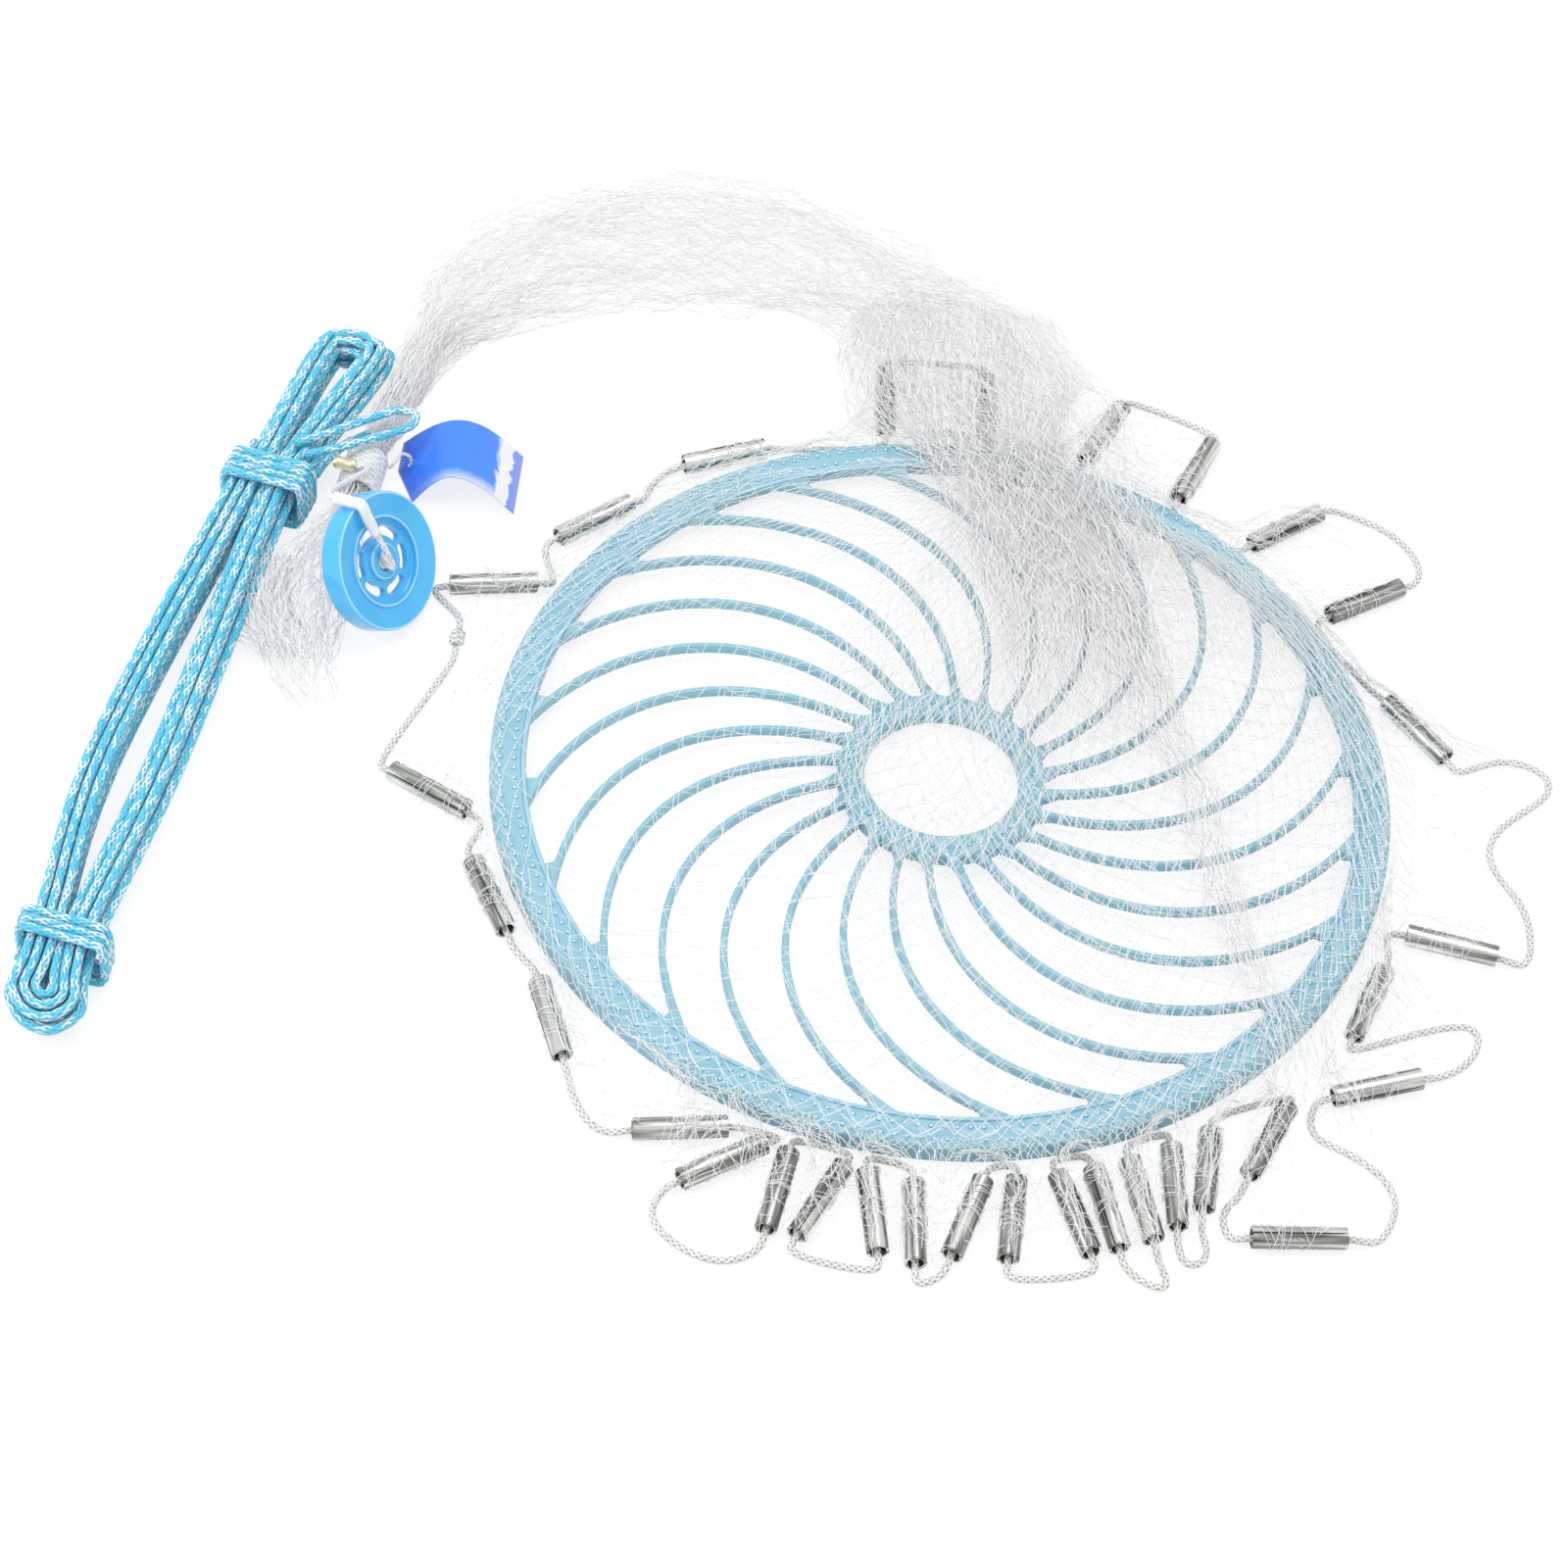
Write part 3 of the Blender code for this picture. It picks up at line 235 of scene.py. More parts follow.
# Folds of the net, each with its threads, its layers, its height in millimetres and its way:
# x, y and half the width in millimetres from the disc's middle
FOLDS = (
    (54, 5, 3, (
        (-10, 296, 44), (-8, 258, 60), (0, 226, 56), (19, 192, 25),
        (35, 148, 30), (50, 106, 34), (63, 60, 37), (71, 20, 33),
    )),
    (13, 4, 5, (
        (62, 122, 15), (82, 74, 12), (103, 25, 10), (120, -23, 9),
        (134, -75, 9), (150, -120, 11), (164, -148, 12),
    )),
    (34, 2, 1, ((22, 170, 24), (4, 120, 38), (-6, 62, 46), (-10, 10, 50), (-6, -45, 50), (0, -92, 46))),
    (22, 5, 12, ((-316, 84, 13), (-315, 62, 14), (-306, 44, 14), (-293, 37, 13), (-282, 40, 9))),
)
SINKER_LOOPS = 9
SINKER_ENDS = 18

CORD_D = 0.0028
STRING_D = 0.0016
STRAP_W = 0.0058
STRAP_T = 0.0034
STRAP_STEPS = (35, 66)
FERRULE_L = 0.0100
FERRULE_WALL = 0.0011
FERRULE_EASE = 0.0005
FERRULE_ON_HORN = (-0.0065, -0.0070)

WHEEL_D = 0.063
WHEEL_T = 0.0115
WHEEL_BORE_D = 0.0090
WHEEL_HUB_D = 0.0170
WHEEL_HUB_T = 0.0074
WHEEL_WEB_T = 0.0030
WHEEL_RING_D = 0.0420
WHEEL_RING_W = 0.0016
WHEEL_RING_H = 0.0010
WHEEL_DISH = 0.62
WHEEL_EDGE = 0.0012
WHEEL_SLOTS = 6
WHEEL_SLOT_W = 0.0046
WHEEL_SLOT_SPAN = math.radians(34)

TAG_L = 0.056
TAG_W = 0.036
TAG_T = 0.0007
TAG_RISE = 0.020
TAG_SLANT = 0.009
TAG_HOLE_R = 0.0015
TAG_HOLE_IN = 0.0055
TAG_AT = (147.4, 80)

UP = np.array([0, 0, 1.0])
BLACK = (0, 0, 0)
WHITE = (1, 1, 1)

# The camera, measured from the middle of the disc
CAMERA_AT = np.array([-0.0690, -1.2692, 1.5557])
CAMERA_DOWN = math.radians(50.97)
CAMERA_ROLL = math.radians(6.6)
FOCAL_PX = 4610
PHOTO_PX = 1600

# Each lamp's place, its size and its power
LAMPS = {"overhead": ((0.3, 0.4, 2.4), 1.3, 15), "left": ((-1.7, -0.5, 1.5), 0.9, 13)}


def joint(name):
    """The place and the axis of a joint."""
    row = next(j for j in frame["joints"] if j["name"] == name)
    return np.array(row["pos_m"]), np.array(row["axis"]) / np.linalg.norm(row["axis"])


def place(bearing, off_mm, z=0.0):
    """A place at a bearing in degrees, so many millimetres outside the disc's rim."""
    r = DISC_R + off_mm / 1000
    a = math.radians(bearing)
    return CENTRE + np.array([r * math.cos(a), r * math.sin(a), z])


def from_middle(point):
    """How far a place is from the disc's axis."""
    return math.hypot(point[0] - CENTRE[0], point[1] - CENTRE[1])


def toward(a):
    """The level way at an angle in radians."""
    return np.array([math.cos(a), math.sin(a), 0.0])


def right_of(way):
    """The level way to the right of another, as long as its level part."""
    return np.array([way[1], -way[0], 0.0])


def circle(a, x, y):
    """The way out at an angle of a circle that lies in two given directions."""
    return x * math.cos(a) + y * math.sin(a)


def smoothstep(x):
    x = np.clip(x, 0.0, 1.0)
    return x * x * (3 - 2 * x)


def catmull(rows, per):
    """A smooth curve through rows of numbers, with so many steps between two of them."""
    p = np.array([list(r) for r in rows], float)
    p = np.vstack([2 * p[0] - p[1], p, 2 * p[-1] - p[-2]])
    out = []
    for i in range(1, len(p) - 2):
        for k in range(per):
            t = k / per
            a = 2 * p[i]
            b = (p[i + 1] - p[i - 1]) * t
            c = (2 * p[i - 1] - 5 * p[i] + 4 * p[i + 1] - p[i + 2]) * t * t
            d = (3 * p[i] - p[i - 1] - 3 * p[i + 1] + p[i + 2]) * t ** 3
            out.append((a + b + c + d) / 2)
    out.append(p[-2])
    return np.array(out)


def soft_curve(controls, per):
    """A cubic B-spline: smooth, and straight wherever its controls are in line."""
    p = np.array([list(c) for c in controls], float)
    p = np.vstack([2 * p[0] - p[1], p, 2 * p[-1] - p[-2]])
    out = []
    for i in range(len(p) - 3):
        for k in range(per):
            t = k / per
            after = -3 * t ** 3 + 3 * t * t + 3 * t + 1
            w = np.array([(1 - t) ** 3, 3 * t ** 3 - 6 * t * t + 4, after, t ** 3])
            out.append(w @ p[i:i + 4] / 6)
    out.append((p[-3] + 4 * p[-2] + p[-1]) / 6)
    return np.array(out)


def length_along(points):
    return np.concatenate([[0.0], np.cumsum(np.linalg.norm(np.diff(points, axis=0), axis=1))])


def resampled(points, step):
    """The same line with points an even step apart."""
    along = length_along(points)
    at = np.linspace(0, along[-1], max(2, int(round(along[-1] / step)) + 1))
    return np.stack([np.interp(at, along, points[:, k]) for k in range(3)], axis=1)


def wander(point, scale, amount, seed):
    """A smooth random shift that depends on the place alone."""
    there = Vector(point) / scale + Vector((seed * 7.3, seed * 3.1, seed))
    return np.array(noise.noise_vector(there)) * amount


def linked(name, data):
    ob = bpy.data.objects.new(name, data)
    bpy.context.scene.collection.objects.link(ob)
    return ob


def add_piece(name, data, mat, stands_for=(), body=BODY, matrix=None):
    """Adds a mesh as a piece with its material, at its place, that rides on a body."""
    ob = linked(name, data)
    if not data.materials:
        data.materials.append(mat)
    if matrix:
        ob.matrix_world = matrix
    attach(ob, body)
    if stands_for:
        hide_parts(*stands_for)
    return ob


def mesh_of(bm, name, smooth=None):
    bmesh.ops.recalc_face_normals(bm, faces=bm.faces)
    data = bpy.data.meshes.new(name)
    bm.to_mesh(data)
    bm.free()
    return smoothed(data, smooth) if smooth else data


def smoothed(data, angle=None):
    """Shades a mesh smooth, but for edges over an angle in degrees."""
    data.shade_smooth()
    if angle:
        data.set_sharp_from_angle(angle=math.radians(angle))
    return data


def raised_face(bm, outline, low, high):
    """A plate between two heights over a flat outline."""
    face = bm.faces.new([bm.verts.new((x, y, low)) for x, y in outline])
    made = bmesh.ops.extrude_face_region(bm, geom=[face])
    raised = [g for g in made["geom"] if isinstance(g, bmesh.types.BMVert)]
    bmesh.ops.translate(bm, vec=(0, 0, high - low), verts=raised)


def skin(name, tubes_of_rings):
    """Closed tubes over rows of rings. U goes round each, and V is its length in metres."""
    verts, faces, uvs = [], [], []
    for rings, along in tubes_of_rings:
        first, sides = len(verts), len(rings[0])
        for ring in rings:
            verts.extend(ring)
        for i in range(len(rings) - 1):
            low, high = first + i * sides, first + (i + 1) * sides
            for j in range(sides):
                k = (j + 1) % sides
                faces.append((low + j, high + j, high + k, low + k))
                u, w = j / sides, (j + 1) / sides
                uvs += [(u, along[i]), (u, along[i + 1]), (w, along[i + 1]), (w, along[i])]
        last = len(verts) - sides
        faces += [tuple(range(first, first + sides)), tuple(reversed(range(last, last + sides)))]
        uvs += [(0.0, 0.0)] * (2 * sides)
    data = bpy.data.meshes.new(name)
    data.from_pydata(verts, [], faces)
    data.uv_layers.new(name="UVMap").data.foreach_set("uv", np.array(uvs, np.float32).ravel())
    return smoothed(data)


def tubes(name, lines, radius, sides):
    """Round cords along lines."""
    turn = np.arange(sides) * 2 * math.pi / sides
    skins = []
    for line in lines:
        p = np.asarray(line, float)
        way = np.gradient(p, axis=0)
        way /= np.maximum(np.linalg.norm(way, axis=1), 1e-9)[:, None]
        across = np.cross(way[0], (0.0, 0.0, 1.0))
        if np.linalg.norm(across) < 0.2:
            across = np.cross(way[0], (0.0, 1.0, 0.0))
        rings = []
        for here, ahead in zip(p, way):
            across = across - ahead * (across @ ahead)
            across /= np.linalg.norm(across)
            above = np.cross(across, ahead)
            out = np.outer(np.cos(turn), across) + np.outer(np.sin(turn), above)
            rings.append(here + radius * out)
        skins.append((rings, length_along(p)))
    return skin(name, skins)


def thread_mesh(name, lines, radius, knots, sides=3):
    """Many thin threads, and the small knots where they meet, as one mesh."""
    p = np.vstack(lines)
    way = np.vstack([np.gradient(line, axis=0) for line in lines])
    way /= np.maximum(np.linalg.norm(way, axis=1), 1e-9)[:, None]
    across = np.cross(way, (0.0, 0.0, 1.0))
    steep = np.linalg.norm(across, axis=1) < 0.1
    across[steep] = np.cross(way[steep], (0.0, 1.0, 0.0))
    across /= np.linalg.norm(across, axis=1)[:, None]
    above = np.cross(across, way)
    turn = np.arange(sides) * 2 * math.pi / sides + math.radians(30)
    ring = np.cos(turn)[:, None] * across[:, None] + np.sin(turn)[:, None] * above[:, None]
    verts = (p[:, None] + radius * ring).reshape(-1, 3)
    ends = np.cumsum([len(line) for line in lines])
    starts = np.concatenate([[0], ends[:-1]])
    low = np.setdiff1d(np.arange(len(p)), ends - 1)[:, None] * sides
    j = np.arange(sides)
    k = (j + 1) % sides
    quads = np.stack([low + j, low + sides + j, low + sides + k, low + k], axis=2).reshape(-1, 4)
    caps = np.vstack([starts[:, None] * sides + j, (ends[:, None] - 1) * sides + j[::-1]])
    faces = quads.tolist() + caps.tolist()
    if len(knots):
        shape, sides_of = knot_shape(1.7 * radius)
        more, extra = scattered(shape, sides_of, knots)
        faces += (extra + len(verts)).tolist()
        verts = np.vstack([verts, more])
    data = bpy.data.meshes.new(name)
    data.from_pydata(verts.tolist(), [], faces)
    return data


def knot_shape(size):
    """A small eight-sided lump."""
    corners = [(1, 0, 0), (0, 1, 0), (-1, 0, 0), (0, -1, 0), (0, 0, 1), (0, 0, -1)]
    faces = [(j, (j + 1) % 4, 4) for j in range(4)] + [((j + 1) % 4, j, 5) for j in range(4)]
    return np.array(corners, float) * size, np.array(faces)


def scattered(verts, faces, places):
    """Copies of one small shape at many places."""
    places = np.asarray(places, float)
    all_verts = (places[:, None] + verts[None]).reshape(-1, 3)
    all_faces = np.arange(len(places))[:, None, None] * len(verts) + faces[None]
    return all_verts, all_faces.reshape(-1, faces.shape[1])


class Paint:
    """The nodes of a material or a world. Each call adds a node and gives its output."""

    def __init__(self, owner):
        owner.use_nodes = True
        self.owner = owner
        self.nodes = owner.node_tree.nodes

    def put(self, socket, value):
        """Links or sets an input. A colour may leave out its alpha of 1."""
        if isinstance(value, bpy.types.NodeSocket):
            self.owner.node_tree.links.new(value, socket)
        elif socket.type == "RGBA":
            socket.default_value = (*value[:3], 1.0)
        else:
            socket.default_value = value

    def node(self, kind, inputs, out=0, **settings):
        made = self.nodes.new("ShaderNode" + kind)
        for key, value in settings.items():
            setattr(made, key, value)
        for key, value in inputs.items():
            self.put(made.inputs[key], value)
        return made.outputs[out] if made.outputs else made

    def maths(self, operation, a, b=0.0):
        return self.node("Math", {0: a, 1: b}, operation=operation)

    def off(self, value, middle):
        """How far a value is from another, either way."""
        return self.maths("ABSOLUTE", self.maths("SUBTRACT", value, middle))

    def spread(self, value, low, high, to_low=0.0, to_high=1.0):
        """Maps a value from one range to another."""
        return self.node("MapRange", {0: value, 1: low, 2: high, 3: to_low, 4: to_high})

    def mix(self, share, first, second):
        return self.node("Mix", {0: share, 6: first, 7: second}, out=2, data_type="RGBA")

    def ramp(self, factor, *stops):
        """A colour ramp through stops of a position and a colour."""
        colours = self.node("ValToRGB", {0: factor})
        elements = colours.node.color_ramp.elements
        while len(elements) < len(stops):
            elements.new(0.5)
        for element, (position, colour) in zip(elements, stops):
            element.position = position
            element.color = (*colour, 1.0)
        return colours

    def where(self, space="Object"):
        return self.node("TexCoord", {}, out=space)

    def parts(self, vector):
        """The X, Y and Z of a vector."""
        return self.node("SeparateXYZ", {0: vector}).node.outputs

    def scaled(self, vector, scale):
        return self.node("Mapping", {"Vector": vector, "Scale": scale})

    def cloudy(self, scale, detail=3.0, vector=None):
        """Noise, in the object's own space where no other is given."""
        spot = self.where() if vector is None else vector
        return self.node("TexNoise", {"Vector": spot, "Scale": scale, "Detail": detail})


class Finish(Paint):
    """A material with one shader, whose constants are set on the shader's own sockets."""

    def __init__(self, name, roughness, metallic=0.0, **sockets):
        super().__init__(bpy.data.materials.new(name))
        self.shader = self.nodes["Principled BSDF"].inputs
        for key, value in {"Roughness": roughness, "Metallic": metallic, **sockets}.items():
            self.shader[key.replace("_", " ")].default_value = value

    def done(self, colour, height, strength, distance, rough=None):
        """Gives the shader its colour, its fine relief and, if it varies, its roughness."""
        self.put(self.shader["Base Color"], colour)
        if rough:
            self.put(self.shader["Roughness"], rough)
        relief = self.node("Bump", {"Height": height, "Strength": strength, "Distance": distance})
        self.put(self.shader["Normal"], relief)
        return self.owner


def disc_material():
    """Pale blue plastic, with painted shade down its walls and round the foot of each bump, and a
    painted highlight on the bumps' tops, faint on the bead.
    """
    m = Finish("disc_plastic", 0.36, Subsurface_Weight=0.12, Subsurface_Scale=0.004)
    colour = m.ramp(m.cloudy(35.0), (0.3, (0.285, 0.540, 0.645)), (0.7, (0.345, 0.590, 0.680)))
    height = m.parts(m.where())["Z"]
    proud = m.spread(height, DISC_H, DISC_H + BUMP_H)
    # Painted shade: a darker ring round the foot of each bump, mixed in below
    foot = m.ramp(proud, (0.02, BLACK), (0.10, WHITE), (0.45, WHITE), (0.60, BLACK))
    # Painted highlight: the bumps' tops and the bead are paler
    top = m.ramp(proud, (0.55, BLACK), (0.75, WHITE))
    offset = m.node("VectorMath", {0: m.where(), 1: tuple(CENTRE)}, operation="SUBTRACT")
    level = m.scaled(offset, (1.0, 1.0, 0.0))
    radius = m.node("VectorMath", {0: level}, out="Value", operation="LENGTH")
    off_bead = m.off(radius, DISC_R - RIM_W + BEAD_W / 2)
    # How much of the painted highlight is kept: little over the bead
    highlight_share = m.spread(off_bead, BEAD_W * 0.6, BEAD_W * 0.9, 0.2, 1.0)
    # Painted shade: the walls and the spokes' sides darken towards the bottom
    painted_low_shade = m.spread(height, DISC_H - 0.0050, DISC_H - 0.0006, 0.65, 0.0)
    colour = m.mix(painted_low_shade, colour, (0.260, 0.520, 0.650))
    colour = m.mix(foot, colour, (0.130, 0.430, 0.640))
    colour = m.mix(m.maths("MULTIPLY", top, highlight_share), colour, (0.70, 0.87, 0.92))
    rough = m.spread(m.cloudy(220.0), 0.0, 1.0, 0.28, 0.44)
    return m.done(colour, m.cloudy(900.0), 0.12, 0.0004, rough)


def steel_material():
    """Rolled sheet, with dark and bright streaks along the tube painted as reflections, and patches of
    darker tone.
    """
    m = Finish("rolled_steel", 0.26, metallic=1.0)
    along = m.scaled(m.where(), (1.0, 1.0, 0.06))
    streak = m.cloudy(520.0, 4.0, along)
    patch = m.cloudy(120.0, 2.0, along)
    mixed = m.maths("ADD", m.maths("MULTIPLY", streak, 0.45), m.maths("MULTIPLY", patch, 0.55))
    # Painted reflection: the near-black and the pale greys turn the streaks into reflected dark and
    # light
    greys = ((0.38, (0.10, 0.11, 0.10)), (0.48, (0.33, 0.34, 0.32)), (0.58, (0.80, 0.81, 0.78)))
    rough = m.ramp(patch, (0.35, (0.42, 0.42, 0.42)), (0.65, (0.20, 0.20, 0.20)))
    return m.done(m.ramp(mixed, *greys), streak, 0.25, 0.0003, rough)


def braid_material(name, base, pale, groove_shade_colour, strands, lay, pale_share, roughness):
    """Braided cord: two families of strands that pass over and under each other, with painted shade in
    the grooves between them.
    """
    m = Finish(name, roughness, Sheen_Weight=0.25, Sheen_Roughness=0.4)
    split = m.parts(m.node("UVMap", {}))
    u = m.maths("MULTIPLY", split["X"], float(strands))
    v = m.maths("MULTIPLY", split["Y"], 1.0 / lay)
    families = [m.maths(way, u, v) for way in ("ADD", "SUBTRACT")]
    waves = [m.maths("SINE", m.maths("MULTIPLY", w, 2 * math.pi)) for w in families]
    height = m.maths("MAXIMUM", *waves)
    cell = m.node("CombineXYZ", {k: m.maths("FLOOR", w) for k, w in enumerate(families)})
    chance = m.node("TexWhiteNoise", {"Vector": cell}, noise_dimensions="2D")
    strand = m.mix(m.maths("LESS_THAN", chance, pale_share), base, pale)
    # Painted shade: the grooves between the strands take the shade colour
    painted_groove_shade = m.spread(height, -0.2, 0.7, 1.0, 0.0)
    return m.done(m.mix(painted_groove_shade, strand, groove_shade_colour), height, 0.6, 0.0005)


def nylon_material():
    """Fine clear nylon, which is mostly seen as white and lets a part of the light through."""
    m = Finish("net_nylon", 0.32, IOR=1.53, Alpha=NYLON_ALPHA)
    colour = m.ramp(m.cloudy(60.0), (0.35, (0.93, 0.935, 0.94)), (0.65, (0.99, 0.99, 0.99)))
    return m.done(colour, m.cloudy(2500.0, 1.0), 0.2, 0.0001)


def wheel_material():
    """Glossy blue plastic with painted highlights: pale lines along the edges of its ring, its rim and
    its hub.
    """
    m = Finish("wheel_plastic", 0.22, Coat_Weight=0.4, Coat_Roughness=0.08)
    colour = m.ramp(m.cloudy(60.0), (0.3, (0.065, 0.500, 0.94)), (0.7, (0.095, 0.565, 0.98)))
    where = m.parts(m.where())
    squares = [m.maths("POWER", where[k], 2.0) for k in ("X", "Y")]
    radius = m.maths("POWER", m.maths("ADD", *squares), 0.5)
    ring = WHEEL_RING_D / 2 - WHEEL_RING_W / 2
    # Painted highlight: a pale line along each edge
    for edge in (ring, WHEEL_D / 2 - WHEEL_EDGE * 0.7, WHEEL_HUB_D / 2 - 0.0004):
        painted_highlight = m.spread(m.off(radius, edge), 0.0002, 0.0006, 0.75, 0.0)
        colour = m.mix(painted_highlight, colour, (0.55, 0.86, 1.0))
    return m.done(colour, m.cloudy(500.0), 0.06, 0.0004)


def tag_material():
    """Coated card: blue that fades to white at its front edge and its right end.

    A pale ragged strip crosses it near that end.
    """
    m = Finish("tag_card", 0.30, Coat_Weight=0.3)
    where = m.parts(m.node("UVMap", {}))
    along, across = where["X"], where["Y"]
    ragged = m.maths("MULTIPLY", m.maths("SUBTRACT", m.cloudy(260.0, 2.0), 0.5), 0.10)
    blues = ((0.05, (0.034, 0.180, 0.90)), (0.45, (0.042, 0.235, 0.95)), (0.80, (0.062, 0.280, 0.97)))
    torn = m.maths("ADD", along, ragged)
    front = m.spread(m.maths("ADD", across, ragged), 0.02, 0.16, 1.0, 0.0)
    right = m.spread(torn, 0.80, 0.84)
    fade = m.maths("MAXIMUM", m.maths("MULTIPLY", front, along), right)
    white = m.mix(fade, m.ramp(along, *blues), (0.92, 0.93, 0.96))
    colour = m.mix(m.maths("GREATER_THAN", torn, 0.93), white, (0.22, 0.33, 0.88))
    return m.done(colour, m.cloudy(400.0), 0.05, 0.0003)


def band_material():
    """The flat pale sleeve over the cord."""
    m = Finish("pale_sleeve", 0.38, Subsurface_Weight=0.1, Subsurface_Scale=0.002)
    colour = m.ramp(m.cloudy(180.0), (0.35, (0.90, 0.90, 0.90)), (0.65, (0.96, 0.96, 0.96)))
    return m.done(colour, m.cloudy(1400.0), 0.25, 0.0002)


def brass_material():
    m = Finish("brass", 0.3, metallic=1.0)
    colour = m.ramp(m.cloudy(400.0), (0.3, (0.80, 0.68, 0.40)), (0.7, (0.93, 0.84, 0.60)))
    return m.done(colour, m.cloudy(1500.0), 0.15, 0.0002)


DISC = disc_material()
STEEL = steel_material()
NYLON = nylon_material()
# The third colour of each cord is the painted shade in its grooves.
ROPE = braid_material(
    "blue_rope", (0.140, 0.680, 0.900), (0.90, 0.98, 0.99), (0.070, 0.540, 0.80), 6, 0.0052, 0.42, 0.5)
LINE_CORD = braid_material(
    "lead_line_cord", (0.88, 0.88, 0.85), (0.95, 0.95, 0.93), (0.50, 0.49, 0.45), 4, 0.0034, 0.4, 0.6)
WHITE_CORD = braid_material(
    "white_cord", (0.95, 0.95, 0.95), (0.98, 0.98, 0.98), (0.80, 0.80, 0.80), 3, 0.0050, 0.4, 0.6)
WHEEL = wheel_material()
TAG = tag_material()
BRASS = brass_material()
BAND = band_material()


def screw(name, profile, steps, smooth=30):
    """Turns a closed profile of (radius, height) round Z."""
    bm = bmesh.new()
    rings = []
    for k in range(steps):
        a = 2 * math.pi * k / steps
        rings.append([bm.verts.new((r * math.cos(a), r * math.sin(a), z)) for r, z in profile])
    n = len(profile)
    for k in range(steps):
        here, there = rings[k], rings[(k + 1) % steps]
        for i in range(n):
            j = (i + 1) % n
            bm.faces.new((here[i], here[j], there[j], there[i]))
    return mesh_of(bm, name, smooth)


def arc(cx, cz, radius, start, end, steps=4):
    """Points of a quarter or any other arc of a profile, in degrees."""
    angles = [math.radians(start + (end - start) * k / steps) for k in range(steps + 1)]
    return [(cx + radius * math.cos(a), cz + radius * math.sin(a)) for a in angles]


def spoke_outline():
    """One spoke from the hub out to the rim, with the small web at each end."""
    hub = HUB_R - ROOT
    rim = DISC_R - RIM_W + ROOT
    start = np.array([hub, 0.0])
    end = toward(SPOKE_SWEEP)[:2] * rim
    a = start + SPOKE_HUB_HANDLE * toward(SPOKE_LEAVES)[:2]
    b = end - SPOKE_RIM_HANDLE * toward(SPOKE_ARRIVES)[:2]
    t = np.linspace(0, 1, SPOKE_STEPS + 1)[:, None]
    mid = (1 - t) ** 3 * start + 3 * (1 - t) ** 2 * t * a + 3 * (1 - t) * t * t * b + t ** 3 * end
    way = np.gradient(mid, axis=0)
    way /= np.linalg.norm(way, axis=1)[:, None]
    side = np.stack([way[:, 1], -way[:, 0]], axis=1) * SPOKE_W / 2
    outer = mid + side
    inner = mid - side
    to_tip = np.linalg.norm(mid - end, axis=1)
    stays = [i for i in range(1, len(mid) - 1) if to_tip[i] > GUSSET]
    foot = outer[stays[-1]] / np.linalg.norm(outer[stays[-1]]) * rim
    heel_at = math.atan2(outer[stays[0]][1], outer[stays[0]][0]) - GUSSET / hub / 2
    heel = toward(heel_at)[:2] * hub
    return [heel] + [outer[i] for i in stays] + [foot, end] + list(inner[::-1])


def rounded_plate(outline, low, high, edge):
    """A flat plate with its upper and lower edges rounded."""
    bm = bmesh.new()
    raised_face(bm, outline, low, high)
    flat = [e for e in bm.edges if abs(e.verts[0].co.z - e.verts[1].co.z) < 1e-6]
    bmesh.ops.bevel(bm, geom=flat, offset=edge, segments=2, affect="EDGES", clamp_overlap=True)
    return bm


def bump_places():
    """The grip bumps: two staggered rows on the rim and one on the hub ring."""
    rows = [(DISC_R - off, 0.5 * row) for row, off in enumerate(BUMP_ROWS)]
    for r, stagger in rows + [(HUB_R - HUB_W * 0.45, 0.0)]:
        count = int(round(2 * math.pi * r / BUMP_STEP))
        for k in range(count):
            a = 2 * math.pi * (k + stagger) / count
            yield r * math.cos(a), r * math.sin(a), DISC_H


def dome_shape(sides=10):
    """One grip bump: a low dome that starts just inside the surface."""
    rings = ((1.0, -0.15), (1.0, 0.0), (0.80, 0.50), (0.42, 0.80), (0.10, 0.88))
    turn = [2 * math.pi * k / sides for k in range(sides)]
    verts = [(BUMP_R * r * math.cos(a), BUMP_R * r * math.sin(a), BUMP_H * z)
             for r, z in rings for a in turn]
    faces = []
    for low in range(0, (len(rings) - 1) * sides, sides):
        for k in range(sides):
            m = (k + 1) % sides
            faces.append((low + k, low + m, low + sides + m, low + sides + k))
    return np.array(verts), np.array(faces)


